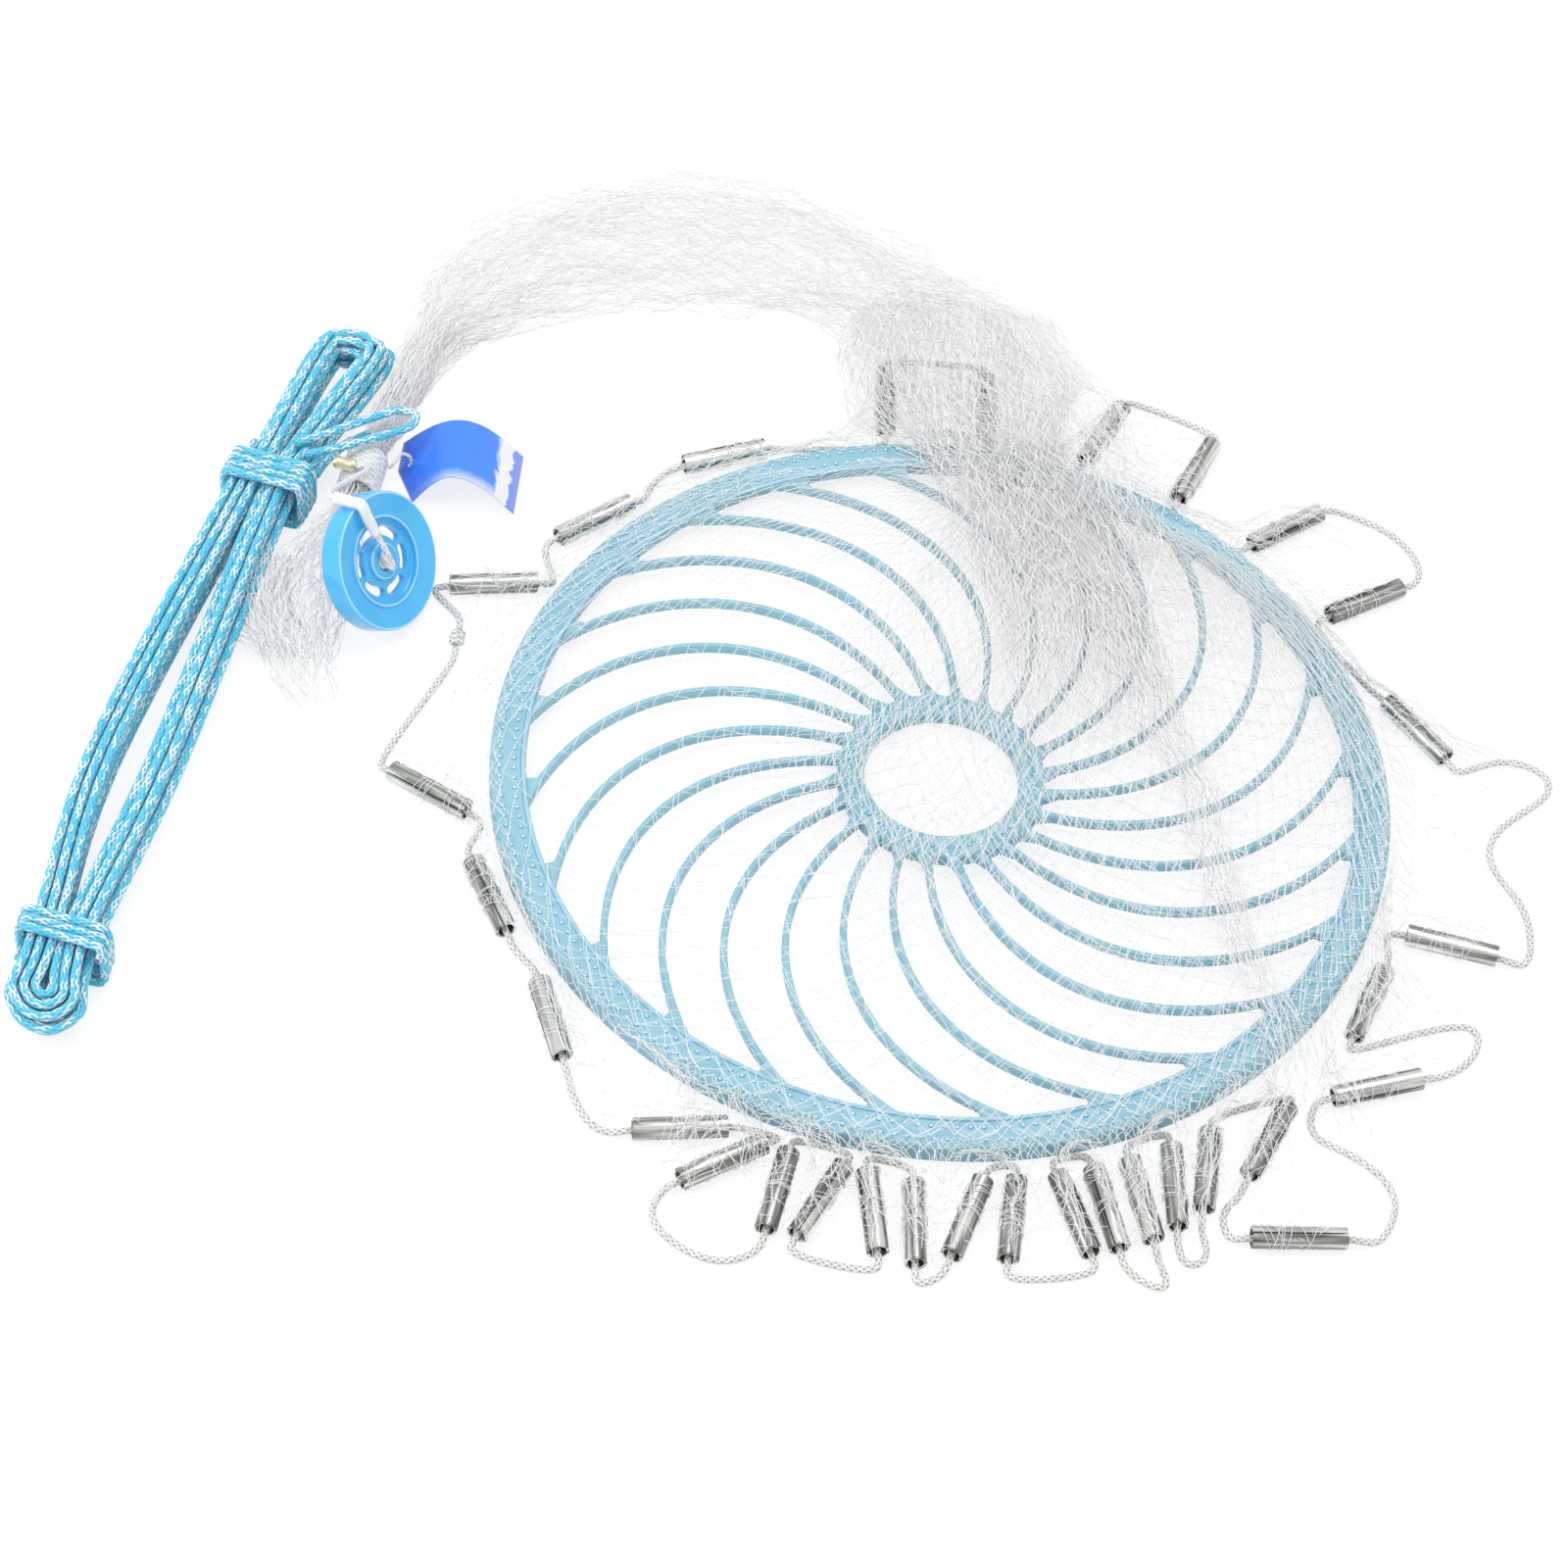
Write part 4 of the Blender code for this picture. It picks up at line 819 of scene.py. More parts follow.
def throwing_disc():
    rim_in = DISC_R - RIM_W
    bead_out = rim_in + BEAD_W
    plate = DISC_H - RIM_TOP_T
    top = DISC_H + BEAD_H
    lip = DISC_H - LIP_H
    profile = arc(DISC_R - RIM_EDGE_R, DISC_H - RIM_EDGE_R, RIM_EDGE_R, 90, 0, 6)
    profile += [(DISC_R, 0.0003), (DISC_R - 0.0003, 0.0), (DISC_R - RIM_WALL_T, 0.0)]
    profile += [(DISC_R - RIM_WALL_T, plate), (bead_out, plate), (bead_out, lip), (rim_in, lip)]
    profile += arc(rim_in + BEAD_W / 3, top - BEAD_W / 3, BEAD_W / 3, 180, 90)
    profile += arc(bead_out - BEAD_W / 3, top - BEAD_W / 3, BEAD_W / 3, 90, 20)
    profile += [(bead_out + 0.0004, DISC_H)]
    bm = bmesh.new()
    bm.from_mesh(screw("rim", profile, 240))
    low = DISC_H - HUB_H
    edge = 0.0009
    ring = arc(HUB_R - RIM_EDGE_R, DISC_H - RIM_EDGE_R, RIM_EDGE_R, 90, 0, 5)
    ring += [(HUB_R, low), (HUB_HOLE_R, low)]
    ring += arc(HUB_HOLE_R + edge, DISC_H - edge, edge, 180, 90)
    bm.from_mesh(screw("hub", ring, 120))
    over = DISC_H - SPOKE_DROP
    spoke = mesh_of(rounded_plate(spoke_outline(), over - SPOKE_H, over, 0.0005), "spoke")
    for k in range(SPOKES):
        copy = spoke.copy()
        copy.transform(Matrix.Rotation(SPOKE_PHASE + 2 * math.pi * k / SPOKES, 4, "Z"))
        bm.from_mesh(copy)
    verts, faces = scattered(*dome_shape(), list(bump_places()))
    domes = bpy.data.meshes.new("domes")
    domes.from_pydata(verts.tolist(), [], faces.tolist())
    bm.from_mesh(domes)
    data = bpy.data.meshes.new("disc")
    bm.to_mesh(data)
    bm.free()
    data.transform(Matrix.Translation(CENTRE))
    add_piece("disc", smoothed(data, 38), DISC, ["throwing_disc"])


def sinker_mesh():
    """Sheet rolled into a tube with an open seam, along Z."""
    outline = []
    for radius, steps in ((SINKER_R, 44), (SINKER_R - SINKER_WALL, 30)):
        half = SEAM / 2 / radius
        angles = [half + (2 * math.pi - 2 * half) * k / steps for k in range(steps + 1)]
        side = [(radius * math.cos(a), radius * math.sin(a)) for a in angles]
        outline += side if radius == SINKER_R else side[::-1]
    bm = rounded_plate(outline, -SINKER_L / 2, SINKER_L / 2, 0.00025)
    return mesh_of(bm, "sinker", 30)


def upright_to(way):
    """The turn that lays Z along a way."""
    return Vector(way).to_track_quat("Z", "Y").to_matrix().to_4x4()


def sinkers():
    """Adds each sinker's tube. Returns its two ends, the one nearer the disc first, and its way."""
    shape = sinker_mesh()
    rows = []
    for k in range(len(LINE_FLOW)):
        name = f"sinker_{k + 1:02d}"
        mid, way = joint(name + "_spin")
        seam = Matrix.Rotation(SEAM_TURN * (k + 0.6), 4, "Z")
        matrix = Matrix.Translation(mid) @ upright_to(way) @ seam
        add_piece(name + "_tube", shape, STEEL, [name], body=name, matrix=matrix)
        near, far = mid - way * SINKER_L / 2, mid + way * SINKER_L / 2
        rows.append((near, far, (far - near) / SINKER_L))
    return rows


def line_route():
    """The lead line's controls, knot to knot, through every sinker."""
    low = LINE_D / 2 + GAP / 2
    inside = LINE_WALL + 2 * GAP + LINE_D / 2
    knot = place(*LINE_KNOT_AT)
    half = LINE_KNOT[0] / 2 + GAP
    controls = []

    def add(z, *points):
        controls.extend((x, y, z) for x, y, _ in points)

    out_of_knot = [np.array([0, off, 0]) for off in (half, half + LINE_D, half + 3 * LINE_D)]
    add(low, *[knot - step for step in out_of_knot])
    for k, (near, far, way) in enumerate(SINKERS):
        if LINE_FLOW[k] == "in":
            near, far, way = far, near, -way
        out, clear = way * LINE_OUT[0], way * LINE_OUT[1]
        add(low, near - clear)
        add(inside, near - out, near, near + way * LINE_IN, far - way * LINE_IN, far, far + out)
        add(low, far + clear, *[place(*spot) for spot in LINE_VIA.get(k + 1, ())])
    add(low, *[knot + step for step in reversed(out_of_knot)])
    return soft_curve(controls, 10)


def lead_line():
    add_piece("line_cord", tubes("line", [LINE_POINTS], LINE_D / 2, 12), LINE_CORD, ["lead_line"])
    knot = place(*LINE_KNOT_AT, LINE_KNOT[2] / 2)
    r = LINE_KNOT[2] / 2 - LINE_D / 2
    turns = []
    for k in range(61):
        a = 2 * math.pi * k / 20
        y = LINE_KNOT[0] * 0.32 * (k / 30 - 1)
        turns.append(knot + np.array([r * 1.25 * math.cos(a), y, r * math.sin(a)]))
    add_piece("line_knot", tubes("knot", [turns], LINE_D / 2, 10), LINE_CORD, ["lead_line_knot"])


def on_hank(along, beside, z):
    """A place beside the hank's bowed middle line, to its right where beside is over 0."""
    way = toward(HANK_BEARING)
    right = right_of(way)
    knots = (0.0, *HANK_RUN, HANK_L)
    bows = [HANK_BOW * 4 * (k / HANK_L) * (1 - k / HANK_L) for k in knots]
    bow = float(np.interp(along, knots, bows))
    return place(*HANK_AT) + way * along + right * (beside - bow) + np.array([0.0, 0.0, z])


def hank_lift(along):
    """How high the hank's lowest rope lies, which is raised where a wrap passes under it."""
    lift = 0.0
    for which, at in WRAP_AT.items():
        half = WRAP_TURNS[which] * ROPE_PITCH / 2 + ROPE_D
        near = max(0.0, abs(along - at) - half)
        lift = max(lift, WRAP_LIFT * max(0.0, 1 - near / WRAP_LIFT_RUN))
    return ROPE_D / 2 + GAP / 2 + lift


def fold_place(kind, index, out):
    """A point of a loop's round end, the innermost moved out along its normal."""
    turn = math.pi * (index + 0.5) / FOLD_POINTS
    half = (HANK_OPEN[-1] if kind == "high" else HANK_OPEN[0]) + FOLD_SWELL[kind]
    reach = FOLD_REACH[kind]
    psi = math.atan2(reach * math.sin(turn), half * math.cos(turn))
    beside = half * math.cos(psi) + math.cos(turn) * out * FOLD_STEP
    ahead = reach * math.sin(psi) + math.sin(turn) * out * FOLD_STEP
    start = reach + HANK_LAYER_TURNS * FOLD_STEP + ROPE_D / 2
    if kind == "high":
        return HANK_L - start + ahead, -beside
    return start - ahead, beside


def hank_point(turn, spot):
    """One point of the hank's rope. The turn sets its layer and how far out it lies."""
    cycle = HANK_LAYER_TURNS + 0.5
    layer = min(int(turn / cycle), HANK_LAYERS - 1)
    within = turn - layer * cycle
    rise = max(0.0, min(1.0, (within - HANK_LAYER_TURNS) * 2))
    out = min(within, HANK_LAYER_TURNS) + CLIMB_BULGE * math.sin(math.pi * rise)
    if layer % 2 == 0:
        out = HANK_LAYER_TURNS - out
    kind, index = spot
    if kind in ("up", "down"):
        along = HANK_RUN[index]
        beside = (HANK_OPEN[index] + out * HANK_STEP) * (-1 if kind == "up" else 1)
    else:
        along, beside = fold_place(kind, index, out)
    return on_hank(along, beside - HANK_STEP / 4, hank_lift(along) + (layer + rise) * ROPE_PITCH)


def hank_points():
    last = len(HANK_RUN) - 1
    half = FOLD_POINTS // 2
    order = [("low", i) for i in range(half, FOLD_POINTS)]
    order += [("up", i) for i in range(last + 1)]
    order += [("high", i) for i in range(FOLD_POINTS)]
    order += [("down", last - i) for i in range(last + 1)]
    order += [("low", i) for i in range(half)]
    each = len(order)
    turns = HANK_LAYERS * HANK_LAYER_TURNS + (HANK_LAYERS - 1) * 0.5
    spots = range(FOLD_POINTS - half, int(round(turns * each)) - half)
    return np.array([hank_point(k / each, order[k % each]) for k in spots])


def hank_height():
    return (HANK_LAYERS - 1) * ROPE_PITCH + ROPE_D


def hank_side(along):
    """How far the hank's outer side lies from its middle."""
    stand = float(np.interp(along, HANK_RUN, HANK_OPEN))
    return stand + HANK_LAYER_TURNS * HANK_STEP + ROPE_D / 2


def wrap_points(which):
    """Turns of rope close round the hank, square to it."""
    at, turns = WRAP_AT[which], WRAP_TURNS[which]
    reach = turns * ROPE_PITCH / 2
    half_w = max(hank_side(at - reach), hank_side(at + reach)) + WRAP_EASE + ROPE_D / 2
    half_h = hank_height() / 2 + WRAP_EASE + ROPE_D / 2
    mid = hank_lift(at) - ROPE_D / 2 + hank_height() / 2
    bend = ROPE_D + WRAP_EASE
    ring = []
    for cx, cz, start in ((-1, -1, 180), (1, -1, 270), (1, 1, 0), (-1, 1, 90)):
        for k in range(3):
            a = math.radians(start + 45 * k)
            x = cx * (half_w - bend) + bend * math.cos(a)
            ring.append((x, cz * (half_h - bend) + bend * math.sin(a)))
    points = []
    for k in range(turns * len(ring) + 1):
        x, z = ring[k % len(ring)]
        points.append(on_hank(at + k / len(ring) * ROPE_PITCH - reach, x, mid + z))
    return np.array(points)


def rope(name, points, per, stands_for):
    """A stretch of the hand rope along its route."""
    fine = catmull(points, per)
    data = tubes(name, [fine], ROPE_D / 2, 14)
    ob = add_piece(name, data, ROPE, [stands_for])


def hand_rope():
    rope("rope_hank", hank_points(), 5, "hand_rope_hank")
    for which in WRAP_TURNS:
        rope(f"rope_turns_{which}", wrap_points(which), 4, f"rope_wrap_{which}")
    rope("rope_loop", [on_hank(*spot) for spot in BOW], 8, "rope_bow")
    rope("rope_lead", [on_hank(*spot) for spot in LEAD], 8, "hand_rope_lead")


def horn_side():
    """The level way out of the horn's right side."""
    return right_of(HORN_WAY)


def horn_whipping():
    """White cord wound tightly round the gathered net."""
    centre = place(*HORN_AT, HORN_D / 2)
    wound = HORN_D / 2 - CORD_D / 2
    turns = HORN_L / CORD_D - 1
    points = []
    for k in range(int(turns * 24) + 1):
        along = -HORN_L / 2 + CORD_D / 2 + CORD_D * k / 24
        out = circle(2 * math.pi * k / 24, horn_side(), UP)
        points.append(centre + HORN_WAY * along + wound * out)
    data = tubes("whipping", [points], CORD_D / 2, 10)
    add_piece("whipping", data, WHITE_CORD, ["horn_whipping"])


def kidney(inner, outer, middle, span, steps=10):
    """The outline of a curved slot with round ends."""
    arc_angles = [middle + span * (k / steps - 0.5) for k in range(steps + 1)]
    r, half = (inner + outer) / 2, (outer - inner) / 2
    out = [(outer * math.cos(a), outer * math.sin(a)) for a in arc_angles]
    for end, sign in ((arc_angles[-1], 1), (arc_angles[0], -1)):
        cx, cy = r * math.cos(end), r * math.sin(end)
        if sign < 0:
            out += [(inner * math.cos(a), inner * math.sin(a)) for a in reversed(arc_angles)]
        for k in range(1, 6):
            turn = end + (math.pi * k / 6 if sign > 0 else math.pi + math.pi * k / 6)
            out.append((cx + half * math.cos(turn), cy + half * math.sin(turn)))
    return out


def wheel_profile():
    """Half of the wheel's section: its hub, its web, the ring on it and its broad rim."""
    rim, half = WHEEL_D / 2, WHEEL_T / 2
    ring_out, ring_in = WHEEL_RING_D / 2, WHEEL_RING_D / 2 - WHEEL_RING_W
    web, hub_half = WHEEL_WEB_T / 2, WHEEL_HUB_T / 2
    dish = half * WHEEL_DISH
    edge = WHEEL_RING_W / 2
    upper = [(WHEEL_BORE_D / 2, hub_half - 0.0004), (WHEEL_BORE_D / 2 + 0.0004, hub_half)]
    upper += arc(WHEEL_HUB_D / 2 - 0.0008, hub_half - 0.0008, 0.0008, 90, 0)
    upper += [(WHEEL_HUB_D / 2 + 0.0003, web + 0.0003), (WHEEL_HUB_D / 2 + 0.0008, web)]
    upper += [(ring_in - 0.0006, web), (ring_in, web + 0.0006)]
    upper += arc(ring_in + edge, dish + WHEEL_RING_H - edge, edge, 180, 0, 6)
    upper += [(ring_out, dish + 0.0002), (ring_out + 0.0006, dish)]
    return upper + arc(rim - WHEEL_EDGE, half - WHEEL_EDGE, WHEEL_EDGE, 80, 0, 5)


def wheel():
    upper = wheel_profile()
    profile = upper + [(r, -z) for r, z in reversed(upper)]
    blank = linked("wheel_blank", screw("wheel_blank", profile, 128, 30))
    middle = (WHEEL_HUB_D / 2 + WHEEL_RING_D / 2 - WHEEL_RING_W) / 2
    cut = bmesh.new()
    for k in range(WHEEL_SLOTS):
        a = 2 * math.pi * (k + 0.5) / WHEEL_SLOTS
        outline = kidney(middle - WHEEL_SLOT_W / 2, middle + WHEEL_SLOT_W / 2, a, WHEEL_SLOT_SPAN)
        raised_face(cut, outline, -WHEEL_T, WHEEL_T)
    cutter = linked("slots", mesh_of(cut, "slots"))
    mod = blank.modifiers.new("slots", "BOOLEAN")
    mod.operation = "DIFFERENCE"
    mod.solver = "EXACT"
    mod.object = cutter
    bpy.context.view_layer.update()
    made = blank.evaluated_get(bpy.context.evaluated_depsgraph_get())
    data = smoothed(bpy.data.meshes.new_from_object(made), 28)
    bpy.data.objects.remove(blank)
    bpy.data.objects.remove(cutter)
    spot, faces = joint("wheel_spin")
    matrix = Matrix.Translation(spot) @ upright_to(faces)
    add_piece("float_wheel", data, WHEEL, ["wheel"], body="wheel", matrix=matrix)


def ferrule_at():
    side, ahead = FERRULE_ON_HORN
    radius = CORD_D / 2 + FERRULE_EASE + FERRULE_WALL
    return place(*HORN_AT, HORN_D + radius) + horn_side() * side + HORN_WAY * ahead


def flat_band(name, route, faces):
    """A flat sleeve round the cord, square to the wheel's face, narrower at its far end."""
    way = np.gradient(route, axis=0)
    way /= np.linalg.norm(way, axis=1)[:, None]
    along = length_along(route)
    sides = 12
    rings = []
    for p, ahead, far in zip(route, way, along / along[-1]):
        side = np.cross(ahead, faces)
        if np.linalg.norm(side) < 0.3:
            side = np.cross(ahead, UP)
        side /= np.linalg.norm(side)
        normal = np.cross(side, ahead)
        half = STRAP_W / 2 * (1 - 0.25 * far)
        ring = []
        for k in range(sides):
            a = 2 * math.pi * k / sides
            c, s = [math.copysign(abs(x) ** 0.45, x) for x in (math.cos(a), math.sin(a))]
            ring.append(p + side * half * c + normal * STRAP_T / 2 * s)
        rings.append(ring)
    return skin(name, [(rings, along)])


def wheel_cord():
    """The white cord: from its sleeve over the wheel's top and down its face to its bore."""
    spot, faces = joint("wheel_spin")
    level = np.array([-faces[1], faces[0], 0.0])
    level /= np.linalg.norm(level)
    up = np.cross(faces, level)
    up = up if up[2] > 0 else -up

    def on_wheel(radial, front):
        return spot + up * radial + faces * front

    face = WHEEL_T / 2 + CORD_D / 2 + 2 * GAP
    rim = WHEEL_D / 2 + CORD_D / 2 + 3 * GAP
    start, side = ferrule_at(), horn_side()
    end = FERRULE_L / 2 + GAP
    bend = 2 * CORD_D
    route = [
        start - side * (end - 3 * GAP),
        start,
        start + side * end,
        start + side * (end + bend) - HORN_WAY * bend / 2 + np.array([0, 0, bend / 4]),
        on_wheel(rim + bend, -WHEEL_T / 2),
        on_wheel(rim + GAP, WHEEL_T / 4),
        on_wheel(rim - 0.0020, face + 0.0012),
        on_wheel(rim - 0.0100, face + 0.0006),
        on_wheel(WHEEL_D / 4, face),
        on_wheel(0.0040, face - GAP),
        on_wheel(0.0004, face - 0.0040),
        on_wheel(0.0, WHEEL_T / 6),
    ]
    fine = catmull(route, 8)
    add_piece("white_cord", tubes("cord", [fine], CORD_D / 2, 10), WHITE_CORD, ["wheel_cord"])
    strap = flat_band("strap", fine[STRAP_STEPS[0]:STRAP_STEPS[1]], faces)
    add_piece("white_strap", strap, BAND)
    r = WHEEL_BORE_D / 2 - 2 * GAP - CORD_D / 2
    turns = []
    for k in range(49):
        front = WHEEL_T * 0.28 * (k / 24 - 1)
        turns.append(spot + faces * front + r * circle(2 * math.pi * k / 16, level, up))
    front = WHEEL_HUB_T / 2 + CORD_D / 2 + GAP
    knot = []
    for k in range(41):
        a = 2 * math.pi * k / 16
        lift = front + 0.0004 * math.cos(a * 0.4)
        knot.append(spot + faces * lift + circle(a, level * 0.0013, up * 0.0042))
    data = tubes("cord_knot", [turns, knot], CORD_D / 2, 10)
    add_piece("white_cord_knot", data, WHITE_CORD)


def ferrule():
    """A crimped brass sleeve, with two shallow beads."""
    bore = CORD_D / 2 + FERRULE_EASE
    r = bore + FERRULE_WALL
    waist = r - FERRULE_WALL / 3
    half = FERRULE_L / 2
    profile = [(bore, half)] + arc(waist - 0.0002, half - 0.0002, 0.0002, 90, 0, 2)
    heights = (0.9, 0.8, 0.6, 0.4, -0.4, -0.6, -0.8, -0.9, -1.0)
    for at, z in zip((waist, r, r, waist, waist, r, r, waist, waist), heights):
        profile.append((at, half * z))
    data = screw("sleeve", profile + [(bore, -half)], 32, 40)
    data.transform(Matrix.Translation(ferrule_at()) @ upright_to(horn_side()))
    add_piece("brass_sleeve", data, BRASS, ["ferrule"])


def tag_height(x):
    """The arch that the card stands in, from one end on the floor to the other."""
    return TAG_RISE * math.cos(math.pi * x / TAG_L)


def tag_slant(x, y):
    """How far the card's left end is slanted inwards, in front of its middle line."""
    return TAG_SLANT * max(0.0, -2 * x / TAG_L) * max(0.0, -2 * y / TAG_W)


def tag():
    """The bent card, a grid whose punched hole is cut by moving points to its edge."""
    hole_x = -TAG_L / 2 + TAG_HOLE_IN
    near_hole = TAG_HOLE_R * 1.35
    bm = bmesh.new()
    long, wide = 56, 36
    grid = [[None] * (wide + 1) for _ in range(long + 1)]
    flat = {}
    for i in range(long + 1):
        for j in range(wide + 1):
            x = TAG_L * (i / long - 0.5)
            y = TAG_W * (j / wide - 0.5)
            away = math.hypot(x - hole_x, y)
            if 1e-6 < away < near_hole:
                x, y = hole_x + (x - hole_x) * TAG_HOLE_R / away, y * TAG_HOLE_R / away
            grid[i][j] = bm.verts.new((x, y, 0.0))
            flat[grid[i][j]] = (x, y, away)
    for i in range(long):
        for j in range(wide):
            corners = (grid[i][j], grid[i + 1][j], grid[i + 1][j + 1], grid[i][j + 1])
            if any(flat[v][2] >= near_hole for v in corners):
                bm.faces.new(corners)
    loose = [v for v in bm.verts if not v.link_faces]
    layer = bm.loops.layers.uv.new("UVMap")
    for face in bm.faces:
        for loop in face.loops:
            x, y, away = flat[loop.vert]
            loop[layer].uv = (x / TAG_L + 0.5, y / TAG_W + 0.5)
    bmesh.ops.delete(bm, geom=loose, context="VERTS")
    for v in bm.verts:
        v.co.z = tag_height(v.co.x) + TAG_T
        v.co.x += tag_slant(v.co.x, v.co.y)
    data = mesh_of(bm, "card", 60)
    data.transform(Matrix.Translation(place(*TAG_AT)))
    ob = add_piece("tag_card", data, TAG, ["tag"], body="tag")
    mod = ob.modifiers.new("card", "SOLIDIFY")
    mod.thickness = TAG_T
    mod.offset = 0.0


def tag_string():
    """The loop's strand from the horn's side down through the card's hole."""
    x = -TAG_L / 2 + TAG_HOLE_IN
    hole = place(*TAG_AT) + np.array([x, 0, tag_height(x) + TAG_T])
    out = horn_side() * (HORN_D / 2 + STRING_D / 2 + GAP)
    start = place(*HORN_AT, HORN_D / 2) + out + HORN_WAY * HORN_L * 0.3
    route = [
        start,
        start + np.array([0.002, 0.001, 0.003]),
        hole + np.array([-0.004, -0.001, 0.007]),
        hole + np.array([0, 0, 0.004]),
        hole - np.array([0, 0, hole[2] - STRING_D]),
    ]
    data = tubes("string", [catmull(route, 8)], STRING_D / 2, 8)
    add_piece("card_string", data, WHITE_CORD, ["tag_string"])


def net_threads(grid, slack, rng, closed=False, ends=None):
    """The zigzag threads of a diamond net whose knots are the points of a grid, rows by columns."""
    rows, columns = grid.shape[:2]
    lines = []
    for j in range(columns if closed else columns - 1):
        stop = rows if ends is None else ends[j]
        knots = [grid[i, (j + (i + j) % 2) % columns] for i in range(stop)]
        line = [knots[0]]
        for a, b in zip(knots, knots[1:]):
            middle = (a + b) / 2
            line += [middle + rng.normal(0, 1, 3) * slack * (1, 1, 0.4), b]
        lines.append(np.array(line))
    return lines


def knots_of(grid):
    rows, columns = grid.shape[:2]
    return np.array([grid[i, j] for i in range(rows) for j in range(columns) if (i + j) % 2 == 0])


def clear_of_sinkers(points):
    """Moves the points that are inside a sinker's tube straight out to just off its surface."""
    reach = SINKER_R + THREAD_D
    for near, far, way in SINKERS:
        along = (points - near) @ way
        off = points - near - along[:, None] * way
        away = np.linalg.norm(off, axis=1)
        inside = (along > 0) & (along < SINKER_L) & (away < reach) & (away > 1e-6)
        points[inside] += off[inside] * (reach / away[inside] - 1)[:, None]
    points[:, 2] = np.maximum(points[:, 2], THREAD_D)
    return points


def add_net(name, lines, knots=(), stands_for=()):
    """Adds threads and their knots as a piece, all of them outside the sinkers."""
    lines = [clear_of_sinkers(line) for line in lines]
    knots = clear_of_sinkers(knots) if len(knots) else knots
    add_piece(name, thread_mesh(name, lines, THREAD_D / 2, knots), NYLON, stands_for)


def add_layer(name, layer, lines, grid, stands_for):
    """Adds one layer of a net. The first stands for the solids."""
    number = f"_{layer + 1}" if layer else ""
    add_net(name + number, lines, knots_of(grid), () if layer else stands_for)


def above_disc(point, layer):
    """The height that the net lies at over the disc, sagging into the hub's hole."""
    r = from_middle(point)
    sag = HUB_SAG * smoothstep((HUB_HOLE_R - 0.004 - r) / 0.02)
    on_rim = 0.00033 * smoothstep((r - DISC_R + RIM_W + 0.004) / 0.004)
    rise = NET_RISE * (1 + noise.noise(Vector(point) / 0.018))
    return NET_Z + on_rim + layer * CROWN_LAYER_H + rise - sag


def crown():
    """The net over the disc, fanned out from where the neck comes in, in loose layers.

    The layers after the first lie over its right side, where the photograph shows more net.
    """
    rng = np.random.default_rng(5)
    radius = DISC_R - 0.002
    rows = int(2 * radius / BAR)
    for layer, (rays, first, last, turn) in enumerate(CROWN_LAYERS):
        focus_at = math.radians(NECK_ENTERS + turn)
        focus = CENTRE + radius * toward(focus_at)
        grid = np.zeros((rows + 1, rays + 1, 3))
        for i in range(rows + 1):
            share = 0.08 + 0.92 * i / rows
            for j in range(rays + 1):
                u = math.radians(first + (last - first) * j / rays)
                point = focus + share * 2 * radius * math.cos(u) * toward(focus_at + math.pi + u)
                shift = wander(point, 0.06, 0.010, layer + 1) + wander(point, 0.02, 0.003, layer + 11)
                point[:2] += shift[:2] * min(1.0, 4 * (1 - share) + 0.15)
                r = from_middle(point)
                if r > radius:
                    point[:2] = CENTRE[:2] + (point - CENTRE)[:2] * radius / r
                point[2] = above_disc(point, layer)
                grid[i, j] = point
        add_layer("net_over_disc", layer, net_threads(grid, SLACK["crown"], rng), grid, ["net_crown"])


def sinker_near(point):
    """How far a place on the floor is from the nearest sinker's middle line."""
    least = 1.0
    for near, far, way in SINKERS:
        along = max(0.0, min(SINKER_L, float((point - near)[:2] @ way[:2])))
        least = min(least, float(np.linalg.norm((point - near - way * along)[:2])))
    return least


def above_hem(point, layer):
    """The height of the net outside the disc, where it falls from the rim over the sinkers."""
    out = from_middle(point) - DISC_R
    rim = NET_Z - HEM_DROP * smoothstep((out - 0.0005) / 0.014)
    tube = 2 * SINKER_R + 0.0007 - HEM_DROP * smoothstep((sinker_near(point) - SINKER_R) / 0.010)
    rise = NET_RISE * (1 + noise.noise(Vector(point) / 0.016))
    return max(rim, tube) + layer * HEM_LAYER_H + rise * smoothstep(out / 0.01)


def hem_columns(count):
    """Where each column of the hem leaves the rim, and where it meets the lead line."""
    line = resampled(LINE_POINTS, 0.004)
    around = np.unwrap(np.arctan2(line[:, 1] - CENTRE[1], line[:, 0] - CENTRE[0]))
    half = 30
    padded = np.concatenate([around[-half:] - 2 * math.pi, around, around[:half] + 2 * math.pi])
    smooth = np.convolve(padded, np.ones(2 * half + 1) / (2 * half + 1), mode="valid")
    even = np.linspace(smooth[0], smooth[-1], len(smooth))
    smooth = 0.7 * np.maximum.accumulate(smooth) + 0.3 * even
    at = np.linspace(0, len(line) - 1, count)
    index = np.arange(len(line))
    ends = np.stack([np.interp(at, index, line[:, k]) for k in range(3)], axis=1)
    return np.interp(at, index, smooth), ends


def in_sinker(point):
    """Whether a point of the lead line is inside a sinker."""
    for near, far, way in SINKERS:
        along = float((point - near)[:2] @ way[:2])
        off = np.linalg.norm((point - near - way * along)[:2])
        if -0.001 < along < SINKER_L + 0.001 and off < SINKER_R:
            return True
    return False


def loop_round(centre, way, radius, start, end, steps):
    """Part of a circle of thread round a cord or a tube, in degrees from level."""
    side = right_of(way)
    side /= np.linalg.norm(side)
    angles = np.radians(np.linspace(start, end, steps))
    return centre + radius * (np.outer(np.cos(angles), side) + np.outer(np.sin(angles), UP))


